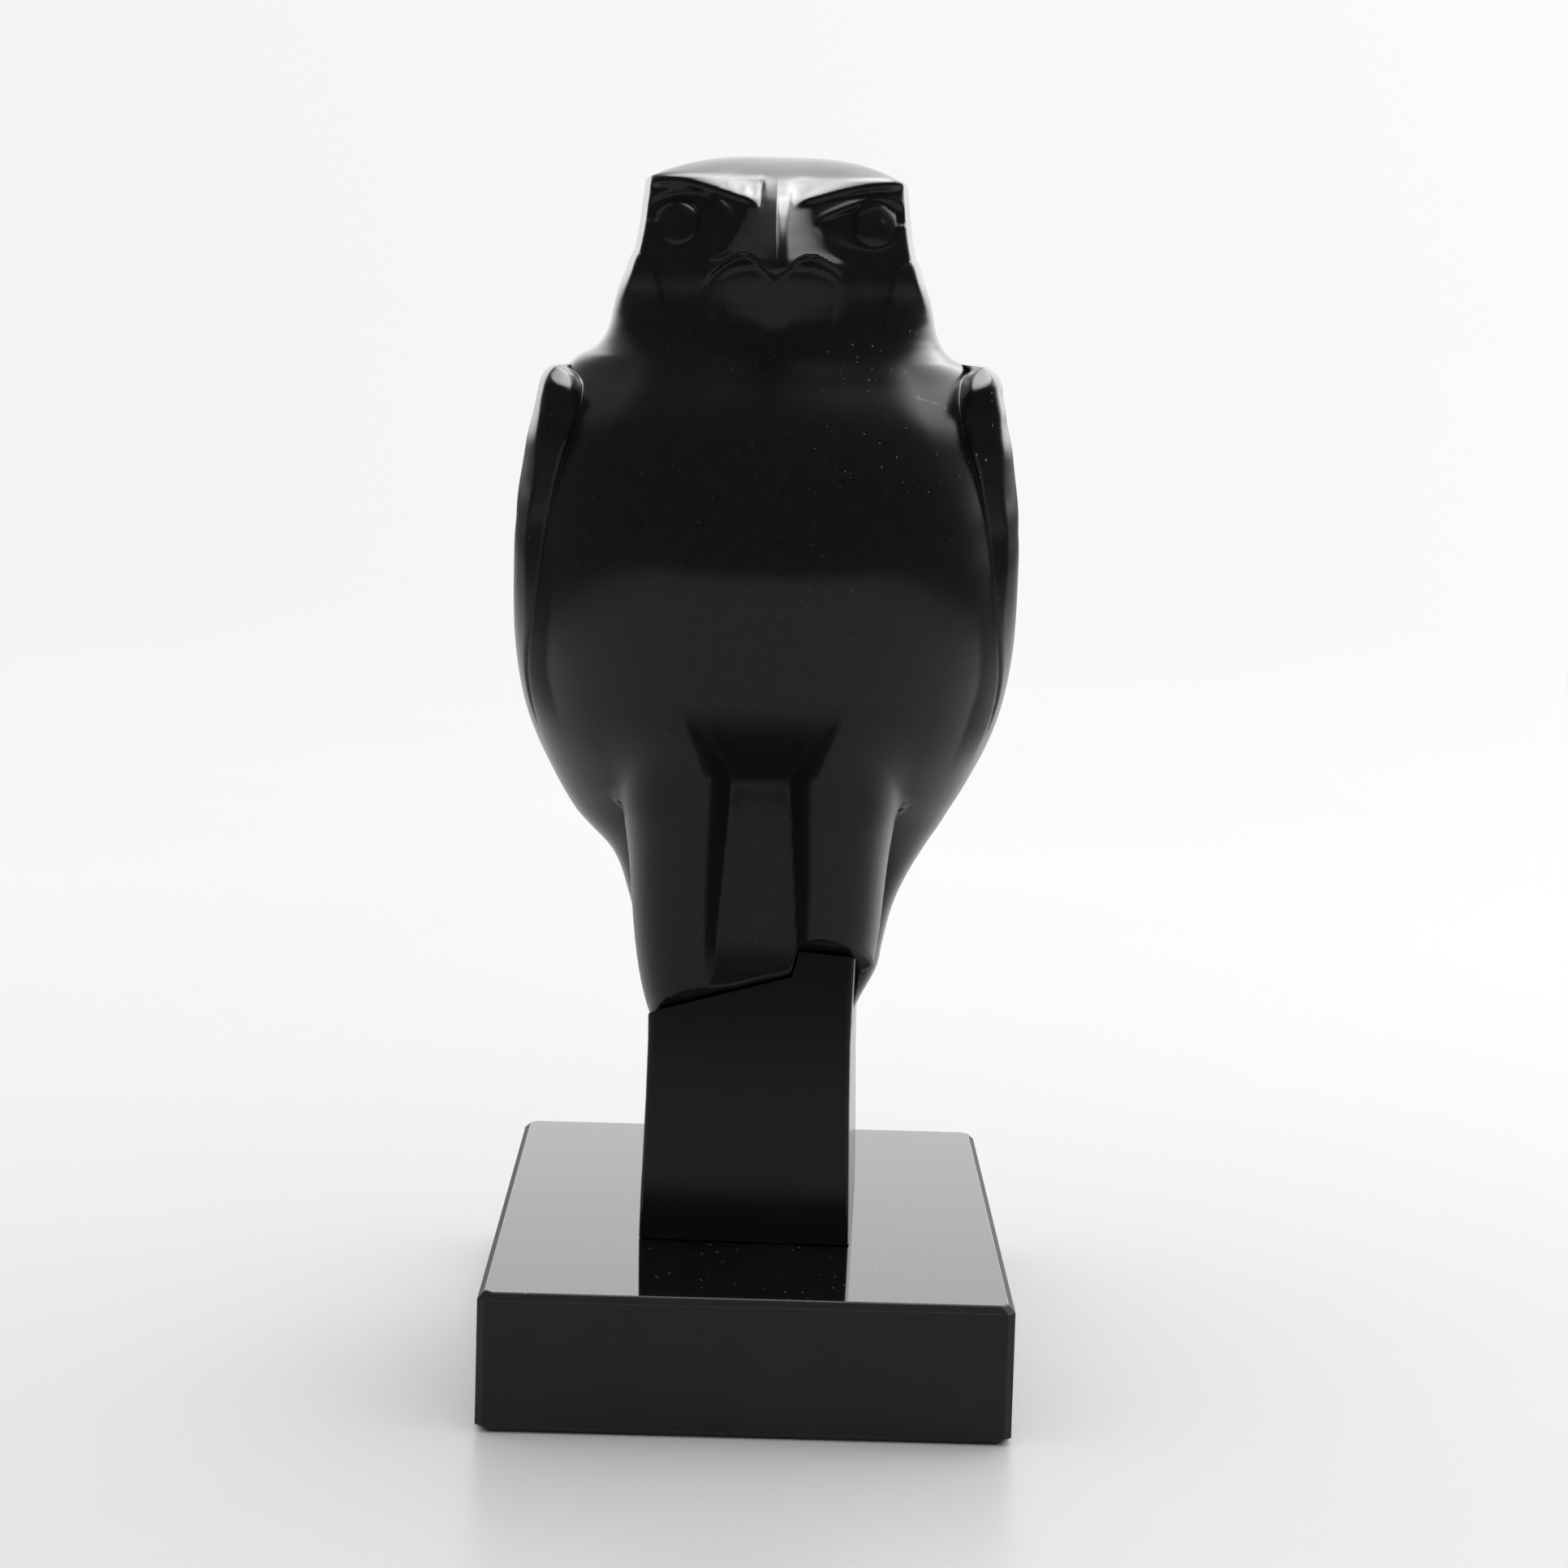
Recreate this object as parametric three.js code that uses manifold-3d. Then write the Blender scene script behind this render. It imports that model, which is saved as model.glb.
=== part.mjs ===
// A falcon figure: a cast reduction of an old stone carving whose legs and tail end are broken off,
// held up by a plain support post on a polished rectangular plinth.
// Millimetres, +Z up. The bird looks along -Y, and the origin is the centre of the plinth's underside.
import * as THREE from 'three';
import { mergeVertices } from 'three/addons/utils/BufferGeometryUtils.js';
import Module from 'manifold-3d';

const wasm = await Module();
wasm.setup();

// Plinth
const plinthWidth = 93;
const plinthDepth = 150;
const plinthHeight = 24.7;
const plinthChamfer = 1.3;

// Support post: a block a little wider at its foot, set slightly turned on the plinth. It is first built
// higher by postSpare, and then cut to the break
const postWidth = 38.4;
const postDepth = 64;
const postHeight = 36.7;
const postNeckWidth = 36.9;
const postCorner = 1.2;
const postTurn = 2.3;
const postSpare = 32;
// how much of the foot's extra width is left at each share of the post's height
const postTaper = [[0, 1], [0.2, 0.86], [0.45, 0.55], [0.7, 0.2], [1, 0], [1.2, 0.15], [1.6, 0.7]];
const postCornerSteps = 3;
const postOffset = 0.5;

// Figure, from the broken end of its tail to its crown
const figureHeight = 159.5;

// Clear space between two pieces where one rests on the other
const seatGap = 0.3;

// The figure's carving is given in hundredths of its height: heights from 0 at the tail's end
// to 100 at the crown, widths from its middle plane, and depths along Y, the front negative.
const share = figureHeight / 100;
const postBase = plinthHeight + seatGap;
const figureBase = postBase + postHeight + seatGap;

// Body: half width, front and back of the trunk, and how square its front and back corners are
const body = {
  halfWidth: [[-4, 10.9], [2.2, 11.5], [7.5, 13.8], [13.8, 15.6], [18.8, 17.9], [23.8, 21.8], [31.3, 25.8],
    [38, 27.8], [46.4, 28.6], [56.4, 27.7], [66.5, 25.7], [72.5, 24], [76.5, 21.4], [79, 19.4], [82.8, 17.8],
    [90.3, 15.9], [97.2, 15]],
  rightBulge: [[0, -1.3], [2.2, -0.8], [4.5, 0], [9, 0.2], [14, 0.55], [19, 0.8], [22, 0.3], [24, 0]],
  front: [[-4, -10.3], [8.8, -10.3], [18.8, -11.5], [24, -15], [28.5, -19.8], [33.2, -24.2], [39.5, -27.6],
    [44.5, -29.8], [50.2, -31.7], [58.3, -32.9], [65.2, -32.3], [70.8, -30.5], [75.2, -27.5], [78.4, -25.2],
    [81.5, -24.2], [86.5, -23.5], [97.2, -22]],
  back: [[-4, 20], [8, 21.3], [18.8, 22.6], [30, 23.5], [42.6, 23.5], [55.2, 21.6], [64.6, 18.2],
    [72.7, 14.1], [79, 11.6], [85.3, 10.3], [91.5, 9.7], [97.2, 7.5]],
  middle: [[-4, 3.8], [20.7, 2.5], [39.5, 0.6], [55.2, -1.3], [74, -3.1], [83.4, -4.4], [97.2, -5]],
  frontPower: [[-4, 6], [8.8, 5], [18.8, 2.6], [27, 2.2], [55.2, 2.15], [64, 2.35], [69.5, 2.55],
    [72.5, 2.35], [75.5, 2.05], [79, 2.25], [84, 3.1], [88, 4.2], [91.5, 4.8], [97.2, 4.8]],
  backPower: [[-4, 3.4], [8.8, 2.8], [20.7, 2.2], [55.2, 2.1], [80.3, 2.2], [97.2, 2.6]],
};

// Thighs and broken legs: one block in front of the trunk that runs up into the belly and fades there;
// behind the legs it is cut back, less and less towards the thighs
const legs = {
  halfWidth: [[-4, 11.9], [0, 12.3], [3.4, 13.4], [6.3, 14.1], [11, 14.8], [20.1, 15.7], [25.1, 16.6],
    [28.8, 17.6], [32.6, 19.2], [37, 21.5], [42.6, 23.8]],
  front: [[-4, -18.6], [8.2, -21.3], [18.8, -23.7], [27, -25.6], [33.2, -27], [38.9, -28.5], [43.9, -30.1],
    [48.9, -31.3]],
  power: [[-4, 4.6], [11.3, 4.2], [23.8, 3.4], [31.3, 2.7], [39.5, 2.25]],
  rear: -15.5,
  rearCut: 0.3,
  rearTurn: 0.14,
  rearHeights: [29, 21],
  blend: [[18, 0.9], [27, 1.3], [33, 2.4], [40, 3.2]],
  fade: 7.5,
  fadeLow: 34,
  fadeHigh: 56,
};

// The panel between the legs: how far it is set back, and where its side walls begin and end
const recess = {
  depth: [[5.5, 0], [8, 0.9], [11, 1.6], [15, 2.1], [20.7, 2.7], [27, 3.3], [29.6, 3.6], [30.4, 3.6], [32, 3],
    [36, 1.2], [38.6, 0.2], [40, 0]],
  inner: [[8, 4.7], [14, 4.6], [20, 4.2], [30, 3.6], [31, 3.8], [35, 5.6], [38.6, 7.4], [40, 8]],
  outer: [[8, 6], [20, 6.3], [30, 6.1], [31, 6.1], [35, 7.7], [38.6, 9.2], [40, 9.6]],
};

// Wings: plates that stand off the trunk, with a narrow front face and a side, round at the shoulder and
// with their points over the tail. The angles are from the front, in radians
const wing = {
  inner: [[36.4, 27.8], [41.4, 27.4], [48.9, 26.3], [53.5, 25.7], [59, 24.8], [64.6, 23.6], [69, 22.4],
    [73, 21.8], [80.3, 21.6]],
  thick: [[31.3, 0], [37.6, 0.38], [46.4, 0.7], [51.4, 1.05], [56.4, 1.6], [61.4, 2.1], [71.5, 2.9],
    [77.7, 4.4]],
  step: [[38, 0], [44, 0.12], [56.4, 0.25], [65, 0.35], [70, 0.45], [75, 0.5]],
  edgeRound: [[45, 0.3], [65, 0.5], [72, 0.9], [75.5, 2.2]],
  frontMin: 14,
  heldIn: 0.99,
  faceTurn: 0.77,
  cornerRound: 0.3,
  sideDepth: [[36, 1], [46, 1.1], [56, 1.3], [64, 1.45]],
  tip: 24.3,
  tipTilt: -0.3,
  tipDome: 1,
  top: 76.5,
  topTilt: 0.6,
  topRound: 2.5,
  topDrop: 7,
  dropAngles: [1.3, 2.9],
  notch: 1.2,
  notchRise: 1.6,
  notchAngles: [2.3, 1.6],
  notchEdge: [-0.1, 0.05],
  thinAngles: [2.9, 1.75],
  rearThick: 0.7,
  rearAngles: [1.5, 2.1],
  lowEdge: [[1.9, 26], [2.2, 24.5], [2.8, 19], [3.15, 18]],
  lowRound: 1.2,
};

// Head: flat sides, the beak's wedge, the brows over the eyes, the chin under the mouth, and the low crown
const head = {
  sideTurn: 1.5,
  sideSpare: 0.07,
  sideCorner: 0.5,
  sideHeights: [81, 88],
  wedge: [[77.5, 0], [79.5, 0.35], [81.5, 1.1], [84.6, 3], [87.1, 4.7], [89.7, 5.4], [92.8, 5], [94.7, 3.8],
    [95.9, 2.1], [97.2, 0.2]],
  wedgeHalf: 13.2,
  wedgeSharp: 1.15,
  beak: [[78, 0], [80, 0.7], [82, 2.1], [84.2, 4], [86.2, 5.4], [87.5, 5.8], [89, 5.1], [90.9, 4],
    [92.8, 2.7], [94.4, 1.6], [97.2, 0]],
  beakHalf: [[85.9, 8], [87.9, 7.6], [89, 5.6], [90.3, 4.3], [91.8, 3.3], [93.8, 2.7], [97.2, 2.1]],
  beakSharp: 1.4,
  mouth: [[0, 86.2], [0.55, 86.6], [1.4, 87.4], [2.25, 88.3], [3.6, 88.7], [5.45, 87.8], [7.3, 86.1],
    [8.5, 84.6], [12.5, 80.3]],
  mouthEnds: [8.4, 7.2],
  mouthEdge: 0.3,
  frontFacing: [0.05, 0.35],
  chin: [[77.5, 0], [79, 0.25], [80.5, 1], [83, 2.5], [86, 4.1], [88.7, 5.1]],
  chinHalf: 9.5,
  brow: [[2, 94.5], [3.4, 95], [9, 96.5], [13, 96.8], [16, 96.9]],
  browDepth: 1.1,
  browHeights: [-0.7, 2.1],
  browStarts: [1.6, 3.8],
  browEnds: [15.4, 12.9],
  eyeX: 10.9,
  eyeHeight: 92.8,
  eyeRadius: 2.5,
  socketDepth: 0.55,
  socketReach: [1.45, 1.08],
  eyeDome: 0.8,
  top: 97.2,
  crownRise: 2.8,
  crownPower: 2.7,
  crownShift: 0.9,
  fadeLow: 78.5,
  fadeHigh: 80.5,
};

// The break under the figure: sloping faces under both legs, the right one higher, and the tail's flat end
const bed = {
  leftHeight: 7,
  leftTilt: 0.27,
  rightHeight: 11.5,
  rightTilt: -0.1,
  backSlope: 0.42,
  slopeFrom: -20.7,
  sideStep: [4, 4.75],
  tailStep: [-11, -10],
  reach: 40,
};

// How finely the figure is divided: columns in each half, with shares ahead of the wing's edge and over its
// front face, and rows up its height. The angles are where the columns part on the head and the legs
const division = {
  columns: 32,
  frontShare: 0.5,
  edgeShare: 0.19,
  edgeBefore: 0.03,
  edgeSpan: [[40, 0.1], [60, 0.14], [70, 0.26], [75, 0.45]],
  plainAngles: [1, 1.25],
  plainBelow: [31, 24],
  plainAbove: [76, 81],
  headPacking: 1.3,
  rearPacking: 0.38,
  legRows: 8,
  bodyRows: 22,
  shoulderRows: 14,
  headRows: 21,
  crownRows: 6,
};
const rowLimits = { bottom: -4, legs: 19, shoulder: 70, head: 77.5 };

const paint = {
  resin: { color: 0x15110f, roughness: 0.3, metalness: 0 },
  post: { color: 0x0b0a0a, roughness: 0.25, metalness: 0 },
  polished: { color: 0x080808, roughness: 0.06, metalness: 0 },
};

// A smooth curve through knots of height and value, level beyond both ends
function along(height, knots) {
  const last = knots.length - 1;
  const h = Math.min(Math.max(height, knots[0][0]), knots[last][0]);
  let i = 0;
  while (i < last - 1 && h >= knots[i + 1][0]) i += 1;
  const slopeAt = (k) => {
    const a = knots[Math.max(k - 1, 0)];
    const b = knots[Math.min(k + 1, last)];
    return (b[1] - a[1]) / (b[0] - a[0]);
  };
  const span = knots[i + 1][0] - knots[i][0];
  const s = (h - knots[i][0]) / span;
  const s2 = s * s;
  const s3 = s2 * s;
  return knots[i][1] * (2 * s3 - 3 * s2 + 1) + slopeAt(i) * span * (s3 - 2 * s2 + s)
    + knots[i + 1][1] * (3 * s2 - 2 * s3) + slopeAt(i + 1) * span * (s3 - s2);
}

function clamp01(value) {
  return Math.min(Math.max(value, 0), 1);
}

// 0 at a and 1 at b, level beyond both, with a soft start and end
function ramp(a, b, value) {
  const s = clamp01((value - a) / (b - a));
  return s * s * (3 - 2 * s);
}

function hump(distance, width) {
  return Math.exp(-((distance / width) ** 2));
}

// The larger of two lengths, with the corner between them rounded over a width
function joined(a, b, width) {
  const mix = clamp01(0.5 + 0.5 * (a - b) / width);
  return b + (a - b) * mix + width * mix * (1 - mix);
}

// Radius of an oval with its own half width, depth and squareness in the direction of an angle
function ovalRadius(sine, cosine, halfWidth, depth, power) {
  return ((sine / halfWidth) ** power + (Math.abs(cosine) / depth) ** power) ** (-1 / power);
}

// 0 at the edge and 1 at a width from it, along a quarter circle
function quarterRound(distance, width) {
  return Math.sqrt(1 - (1 - clamp01(distance / width)) ** 2);
}

// Where the wing's inner edge lies on the trunk: its places across and ahead of the middle
function innerEdge(height, halfWidth, depth, power) {
  const across = along(height, wing.inner);
  const held = Math.min(across / halfWidth, wing.heldIn);
  return [across, Math.max(depth * clamp01(1 - held ** power) ** (1 / power), wing.frontMin)];
}

function wingTop(angle, side) {
  return wing.top + wing.topTilt * side - wing.topDrop * ramp(...wing.dropAngles, angle);
}

// How far the wing stands off the trunk: a plate with a front face, a corner and a side, which thins out
// towards the back and is rounded off at its inner edge, its top and its lower edge behind
function wingLift(angle, height, side, radius, halfWidth, depth, power) {
  const closing = quarterRound(wingTop(angle, side) - height, wing.topRound);
  if (closing === 0) return 0;
  const tip = wing.tip + wing.tipTilt * side;
  const outer = tip + (halfWidth + along(height, wing.thick) - tip) * closing;
  if (Math.cos(angle) <= 0) {
    const ledge = quarterRound(height - along(angle, wing.lowEdge), wing.lowRound);
    const rear = wing.rearThick * ramp(...wing.rearAngles, angle) * ledge;
    return Math.max((outer - halfWidth) * ramp(...wing.thinAngles, angle), rear * closing);
  }
  const [across, ahead] = innerEdge(height, halfWidth, depth, power);
  const turn = wing.faceTurn;
  const away = across * Math.sin(turn) + ahead * Math.cos(turn) + along(height, wing.step);
  const face = (away - wing.tipDome * (1 - closing)) / Math.cos(angle - turn);
  const flankDepth = depth * along(height, wing.sideDepth);
  const flank = ovalRadius(Math.sin(angle), Math.cos(angle), outer, flankDepth, 2);
  const plate = -joined(-flank, -face, wing.cornerRound);
  const inner = tip + (across - tip) * closing;
  const edge = quarterRound(plate * Math.sin(angle) - inner, along(height, wing.edgeRound));
  return Math.max(plate - radius, 0) * edge;
}

// How far the surface dips between the wing's rounded top and the neck
function wingNotch(angle, height, side, edgeAngle) {
  const over = height - wingTop(angle, side);
  if (over <= 0) return 0;
  const beside = ramp(...wing.notchEdge, angle - edgeAngle) * ramp(...wing.notchAngles, angle);
  return wing.notch * ramp(wing.notchRise, 0, over) * beside;
}

// The thighs' and legs' block, joined to the trunk's radius and cut by the panel between the legs
function withLegs(radius, angle, height, middle) {
  const legHalf = along(height, legs.halfWidth);
  const corner = Math.atan2(legHalf, middle - legs.rear);
  const cut = legs.rearCut * ramp(corner, corner + legs.rearTurn, angle) * ramp(...legs.rearHeights, height);
  const legDepth = middle - along(height, legs.front);
  const block = ovalRadius(Math.sin(angle), Math.cos(angle), legHalf, legDepth, along(height, legs.power));
  const faded = block * (1 - cut) - legs.fade * ramp(legs.fadeLow, legs.fadeHigh, height);
  const whole = joined(radius, faded, along(height, legs.blend));
  const outer = along(height, recess.outer);
  const wall = clamp01((whole * Math.sin(angle) - outer) / (along(height, recess.inner) - outer));
  return whole - along(height, recess.depth) * wall;
}

// A point of the trunk, legs and wings on one side, in shares of the height
function bodyPoint(angle, height, side) {
  const sine = Math.sin(angle);
  const cosine = Math.cos(angle);
  const inFront = cosine > 0;
  const middle = along(height, body.middle);
  const halfWidth = along(height, body.halfWidth) + side * along(height, body.rightBulge);
  const depth = inFront ? middle - along(height, body.front) : along(height, body.back) - middle;
  const power = along(height, inFront ? body.frontPower : body.backPower);
  const onHead = inFront ? ramp(...head.sideHeights, height) : 0;
  let radius = ovalRadius(sine, cosine, halfWidth * (1 + head.sideSpare * onHead), depth, power);
  const flat = halfWidth * Math.sin(head.sideTurn) / Math.max(Math.cos(angle - head.sideTurn), 0.2);
  radius -= onHead * (radius + joined(-radius, -flat, head.sideCorner));
  if (inFront && height < legs.fadeHigh) radius = withLegs(radius, angle, height, middle);
  radius += wingLift(angle, height, side, radius, halfWidth, depth, power);
  const edgeAngle = Math.atan2(...innerEdge(height, halfWidth, depth, power));
  const drop = wingNotch(angle, height, side, edgeAngle);
  return new THREE.Vector3(side * radius * sine, middle - radius * cosine, height - drop);
}

// How far the face stands forward of the plain head, at a distance from the middle and a height
function faceRelief(x, height) {
  const wedge = along(height, head.wedge) * clamp01(1 - x / head.wedgeHalf) ** head.wedgeSharp;
  const beak = along(height, head.beak) * clamp01(1 - x / along(height, head.beakHalf)) ** head.beakSharp;
  const overBrow = height - along(x, head.brow);
  const [browLow, browHigh] = head.browHeights;
  const ridge = overBrow > 0 ? 1 - ramp(0, browHigh, overBrow) : ramp(browLow, 0, overBrow);
  const fade = ramp(head.fadeLow, head.fadeHigh, height);
  const brow = head.browDepth * ridge * ramp(...head.browStarts, x) * ramp(...head.browEnds, x) * fade;
  const plain = wedge + beak + brow;
  const chin = along(height, head.chin) * clamp01(1 - (x / head.chinHalf) ** 2);
  const overMouth = height - along(x, head.mouth);
  const underMouth = ramp(head.mouthEdge, -head.mouthEdge, overMouth) * ramp(...head.mouthEnds, x);
  const face = plain - Math.max(plain - chin, 0) * underMouth;
  const eyeDistance = Math.hypot(x - head.eyeX, height - head.eyeHeight) / head.eyeRadius;
  const socket = head.socketDepth * ramp(...head.socketReach, eyeDistance);
  const eye = head.eyeDome * Math.sqrt(clamp01(1 - eyeDistance ** 2));
  return face + (eye - socket) * fade;
}

// Angles of one half's columns: ahead of the wing's edge, over its front face, and behind it
function columnAngles(height) {
  const halfWidth = along(height, body.halfWidth);
  const depth = along(height, body.middle) - along(height, body.front);
  const edge = Math.atan2(...innerEdge(height, halfWidth, depth, along(height, body.frontPower)));
  const onHead = ramp(...division.plainAbove, height);
  const away = Math.min(onHead + ramp(...division.plainBelow, height), 1);
  const [plainStart, plainStop] = division.plainAngles;
  const start = (edge - division.edgeBefore) * (1 - away) + plainStart * away;
  const stop = (edge + along(height, division.edgeSpan)) * (1 - away) + plainStop * away;
  const { frontShare, edgeShare, rearPacking: packing } = division;
  const rearSpan = Math.PI - stop;
  return Array.from({ length: division.columns + 1 }, (_, i) => {
    const part = i / division.columns;
    const ahead = clamp01(part / frontShare);
    const across = clamp01((part - frontShare) / edgeShare);
    const behind = clamp01((part - frontShare - edgeShare) / (1 - frontShare - edgeShare));
    const packed = ahead * (1 - onHead) + ahead ** division.headPacking * onHead;
    return start * packed + (stop - start) * across + rearSpan * behind * (1 - packing + packing * behind);
  });
}

// Heights of the level rows below the crown
function rowHeights() {
  const spread = (from, to, count) => Array.from({ length: count }, (_, i) => from + (to - from) * i / count);
  return [...spread(rowLimits.bottom, rowLimits.legs, division.legRows),
    ...spread(rowLimits.legs, rowLimits.shoulder, division.bodyRows),
    ...spread(rowLimits.shoulder, rowLimits.head, division.shoulderRows),
    ...spread(rowLimits.head, head.top, division.headRows), head.top];
}

// One closed row of the figure's surface, counter-clockwise seen from above
function rowPoints(height) {
  const angles = columnAngles(height);
  const half = (side) => angles.map((angle) => {
    const point = bodyPoint(angle, height, side);
    const facing = Math.cos(angle);
    if (facing > 0) point.y -= faceRelief(Math.abs(point.x), height) * ramp(...head.frontFacing, facing);
    return point;
  });
  const right = half(1);
  const left = half(-1).slice(1, -1).reverse();
  return [...right, ...left];
}

// The crown: the last row drawn in step by step towards its middle, rising to the top
function crownRows(lastRow) {
  const centre = new THREE.Vector3(head.crownShift, along(head.top, body.middle), head.top);
  return Array.from({ length: division.crownRows }, (_, i) => {
    const scale = 1 - Math.sin(((i + 1) / (division.crownRows + 1)) * Math.PI / 2);
    const rise = head.crownRise * (1 - scale ** head.crownPower);
    return lastRow.map((point) => {
      const moved = centre.clone().lerp(point, scale);
      moved.z = head.top + rise;
      return moved;
    });
  });
}

// A closed solid through rows of points, each row joined to the next and the ends closed to their middles
function loftSolid(rows) {
  const count = rows[0].length;
  const sumOf = (row) => row.reduce((sum, point) => sum.add(point), new THREE.Vector3());
  const middleOf = (row) => sumOf(row).divideScalar(count);
  const points = [...rows.flat(), middleOf(rows[0]), middleOf(rows.at(-1))];
  const bottom = points.length - 2;
  const top = points.length - 1;
  const triangles = [];
  for (let j = 0; j < count; j += 1) {
    const next = (j + 1) % count;
    triangles.push(bottom, next, j);
    for (let i = 0; i < rows.length - 1; i += 1) {
      const low = i * count;
      const high = low + count;
      triangles.push(low + j, low + next, high + next, low + j, high + next, high + j);
    }
    const last = (rows.length - 1) * count;
    triangles.push(last + j, last + next, top);
  }
  const geometry = new THREE.BufferGeometry().setFromPoints(points);
  geometry.setIndex(triangles);
  return geometry;
}

function toSolid(geometry) {
  const bare = geometry.clone();
  bare.deleteAttribute('normal');
  bare.deleteAttribute('uv');
  const merged = mergeVertices(bare, 1e-4);
  return new wasm.Manifold(new wasm.Mesh({
    numProp: 3,
    vertProperties: merged.attributes.position.array,
    triVerts: Uint32Array.from(merged.index.array),
  }));
}

function toGeometry(solid) {
  const { vertProperties, triVerts } = solid.getMesh();
  const geometry = new THREE.BufferGeometry();
  geometry.setAttribute('position', new THREE.BufferAttribute(vertProperties, 3));
  geometry.setIndex(new THREE.BufferAttribute(triVerts, 1));
  return geometry;
}

// Height of the break over a place, in shares of the figure's height
function bedHeight(x, y) {
  const blend = (limits, value) => clamp01((value - limits[0]) / (limits[1] - limits[0]));
  const side = blend(bed.sideStep, x);
  const left = bed.leftHeight + bed.leftTilt * x;
  const right = bed.rightHeight + bed.rightTilt * x;
  const underLegs = left * (1 - side) + right * side - bed.backSlope * (y - bed.slopeFrom);
  return Math.max(underLegs, 0) * (1 - blend(bed.tailStep, y));
}

// A block that fills everything under the break, with grid lines along the break's creases
function bedBlock() {
  const legEdge = body.halfWidth[2][1];
  const xLines = [-bed.reach, -legEdge, -legEdge / 2, ...bed.sideStep, legEdge, bed.reach];
  const yLines = [-bed.reach, bed.slopeFrom, ...bed.tailStep, bed.reach];
  const floor = -bed.reach;
  const rows = yLines.map((y) => xLines.map((x) => new THREE.Vector3(x, y, bedHeight(x, y))));
  const across = xLines.length;
  const tops = rows.flat();
  const points = [...tops, ...tops.map((point) => new THREE.Vector3(point.x, point.y, floor))];
  const triangles = [];
  const addQuad = (a, b, c, d) => triangles.push(a, b, c, a, c, d);
  for (let j = 0; j < yLines.length - 1; j += 1) {
    for (let i = 0; i < across - 1; i += 1) {
      const a = j * across + i;
      const under = tops.length;
      addQuad(a, a + 1, a + 1 + across, a + across);
      addQuad(under + a, under + a + across, under + a + 1 + across, under + a + 1);
    }
  }
  const edge = [
    ...xLines.map((_, i) => i),
    ...yLines.slice(1).map((_, j) => (j + 2) * across - 1),
    ...xLines.slice(1).map((_, i) => across * yLines.length - 2 - i),
    ...yLines.slice(2).map((_, j) => across * (yLines.length - 2 - j)),
  ];
  edge.forEach((from, i) => {
    const to = edge[(i + 1) % edge.length];
    addQuad(from, from + tops.length, to + tops.length, to);
  });
  const geometry = new THREE.BufferGeometry().setFromPoints(points);
  geometry.setIndex(triangles);
  return geometry;
}

function placeFigure(geometry) {
  return geometry.scale(share, share, share).translate(0, 0, figureBase);
}

function buildFigure() {
  const rows = rowHeights().map(rowPoints);
  const loft = placeFigure(loftSolid([...rows, ...crownRows(rows.at(-1))]));
  return toGeometry(toSolid(loft).subtract(toSolid(placeFigure(bedBlock()))));
}

// The post: rounded rectangles drawn in from the foot to the neck, cut on top to the figure's break
function buildPost() {
  const top = postHeight + postSpare;
  const rows = postTaper.filter(([level]) => level * postHeight < top).map(([level, foot]) => {
    const halfWidth = (postNeckWidth + (postWidth - postNeckWidth) * foot) / 2;
    const halfDepth = postDepth / 2;
    const corners = [[1, -1], [1, 1], [-1, 1], [-1, -1]];
    return corners.flatMap(([sx, sy], quarter) => Array.from({ length: postCornerSteps + 1 }, (_, i) => {
      const turn = (quarter - 1 + i / postCornerSteps) * Math.PI / 2;
      return new THREE.Vector3(
        postOffset + sx * (halfWidth - postCorner) + postCorner * Math.cos(turn),
        sy * (halfDepth - postCorner) + postCorner * Math.sin(turn),
        level * postHeight,
      );
    }));
  });
  const block = loftSolid(rows).rotateZ(-THREE.MathUtils.degToRad(postTurn)).translate(0, 0, postBase);
  const cut = placeFigure(bedBlock()).translate(seatGap, -seatGap, -seatGap);
  return toGeometry(toSolid(block).intersect(toSolid(cut)));
}

// The plinth: a slab with a small chamfer along every edge
function buildPlinth() {
  const inset = [[plinthChamfer, 0], [0, plinthChamfer], [0, plinthHeight - plinthChamfer],
    [plinthChamfer, plinthHeight]];
  const rows = inset.map(([drawnIn, height]) => {
    const x = plinthWidth / 2 - drawnIn;
    const y = plinthDepth / 2 - drawnIn;
    const cut = plinthChamfer;
    return [[x, -y + cut], [x, y - cut], [x - cut, y], [-x + cut, y], [-x, y - cut], [-x, -y + cut],
      [-x + cut, -y], [x - cut, -y]].map(([px, py]) => new THREE.Vector3(px, py, height));
  });
  return toGeometry(toSolid(loftSolid(rows)));
}

function makePiece(name, geometry, look) {
  geometry.computeVertexNormals();
  const mesh = new THREE.Mesh(geometry, new THREE.MeshStandardMaterial(look));
  mesh.name = name;
  return mesh;
}

const object = new THREE.Group();
object.name = 'falcon_figure';
object.add(makePiece('falcon', buildFigure(), paint.resin));
object.add(makePiece('support_post', buildPost(), paint.post));
object.add(makePiece('plinth', buildPlinth(), paint.polished));

export default object;
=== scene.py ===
# Studio scene of a cast falcon figure on its post and polished plinth
import math

import bpy
import numpy as np
from mathutils import Matrix, Vector


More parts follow.
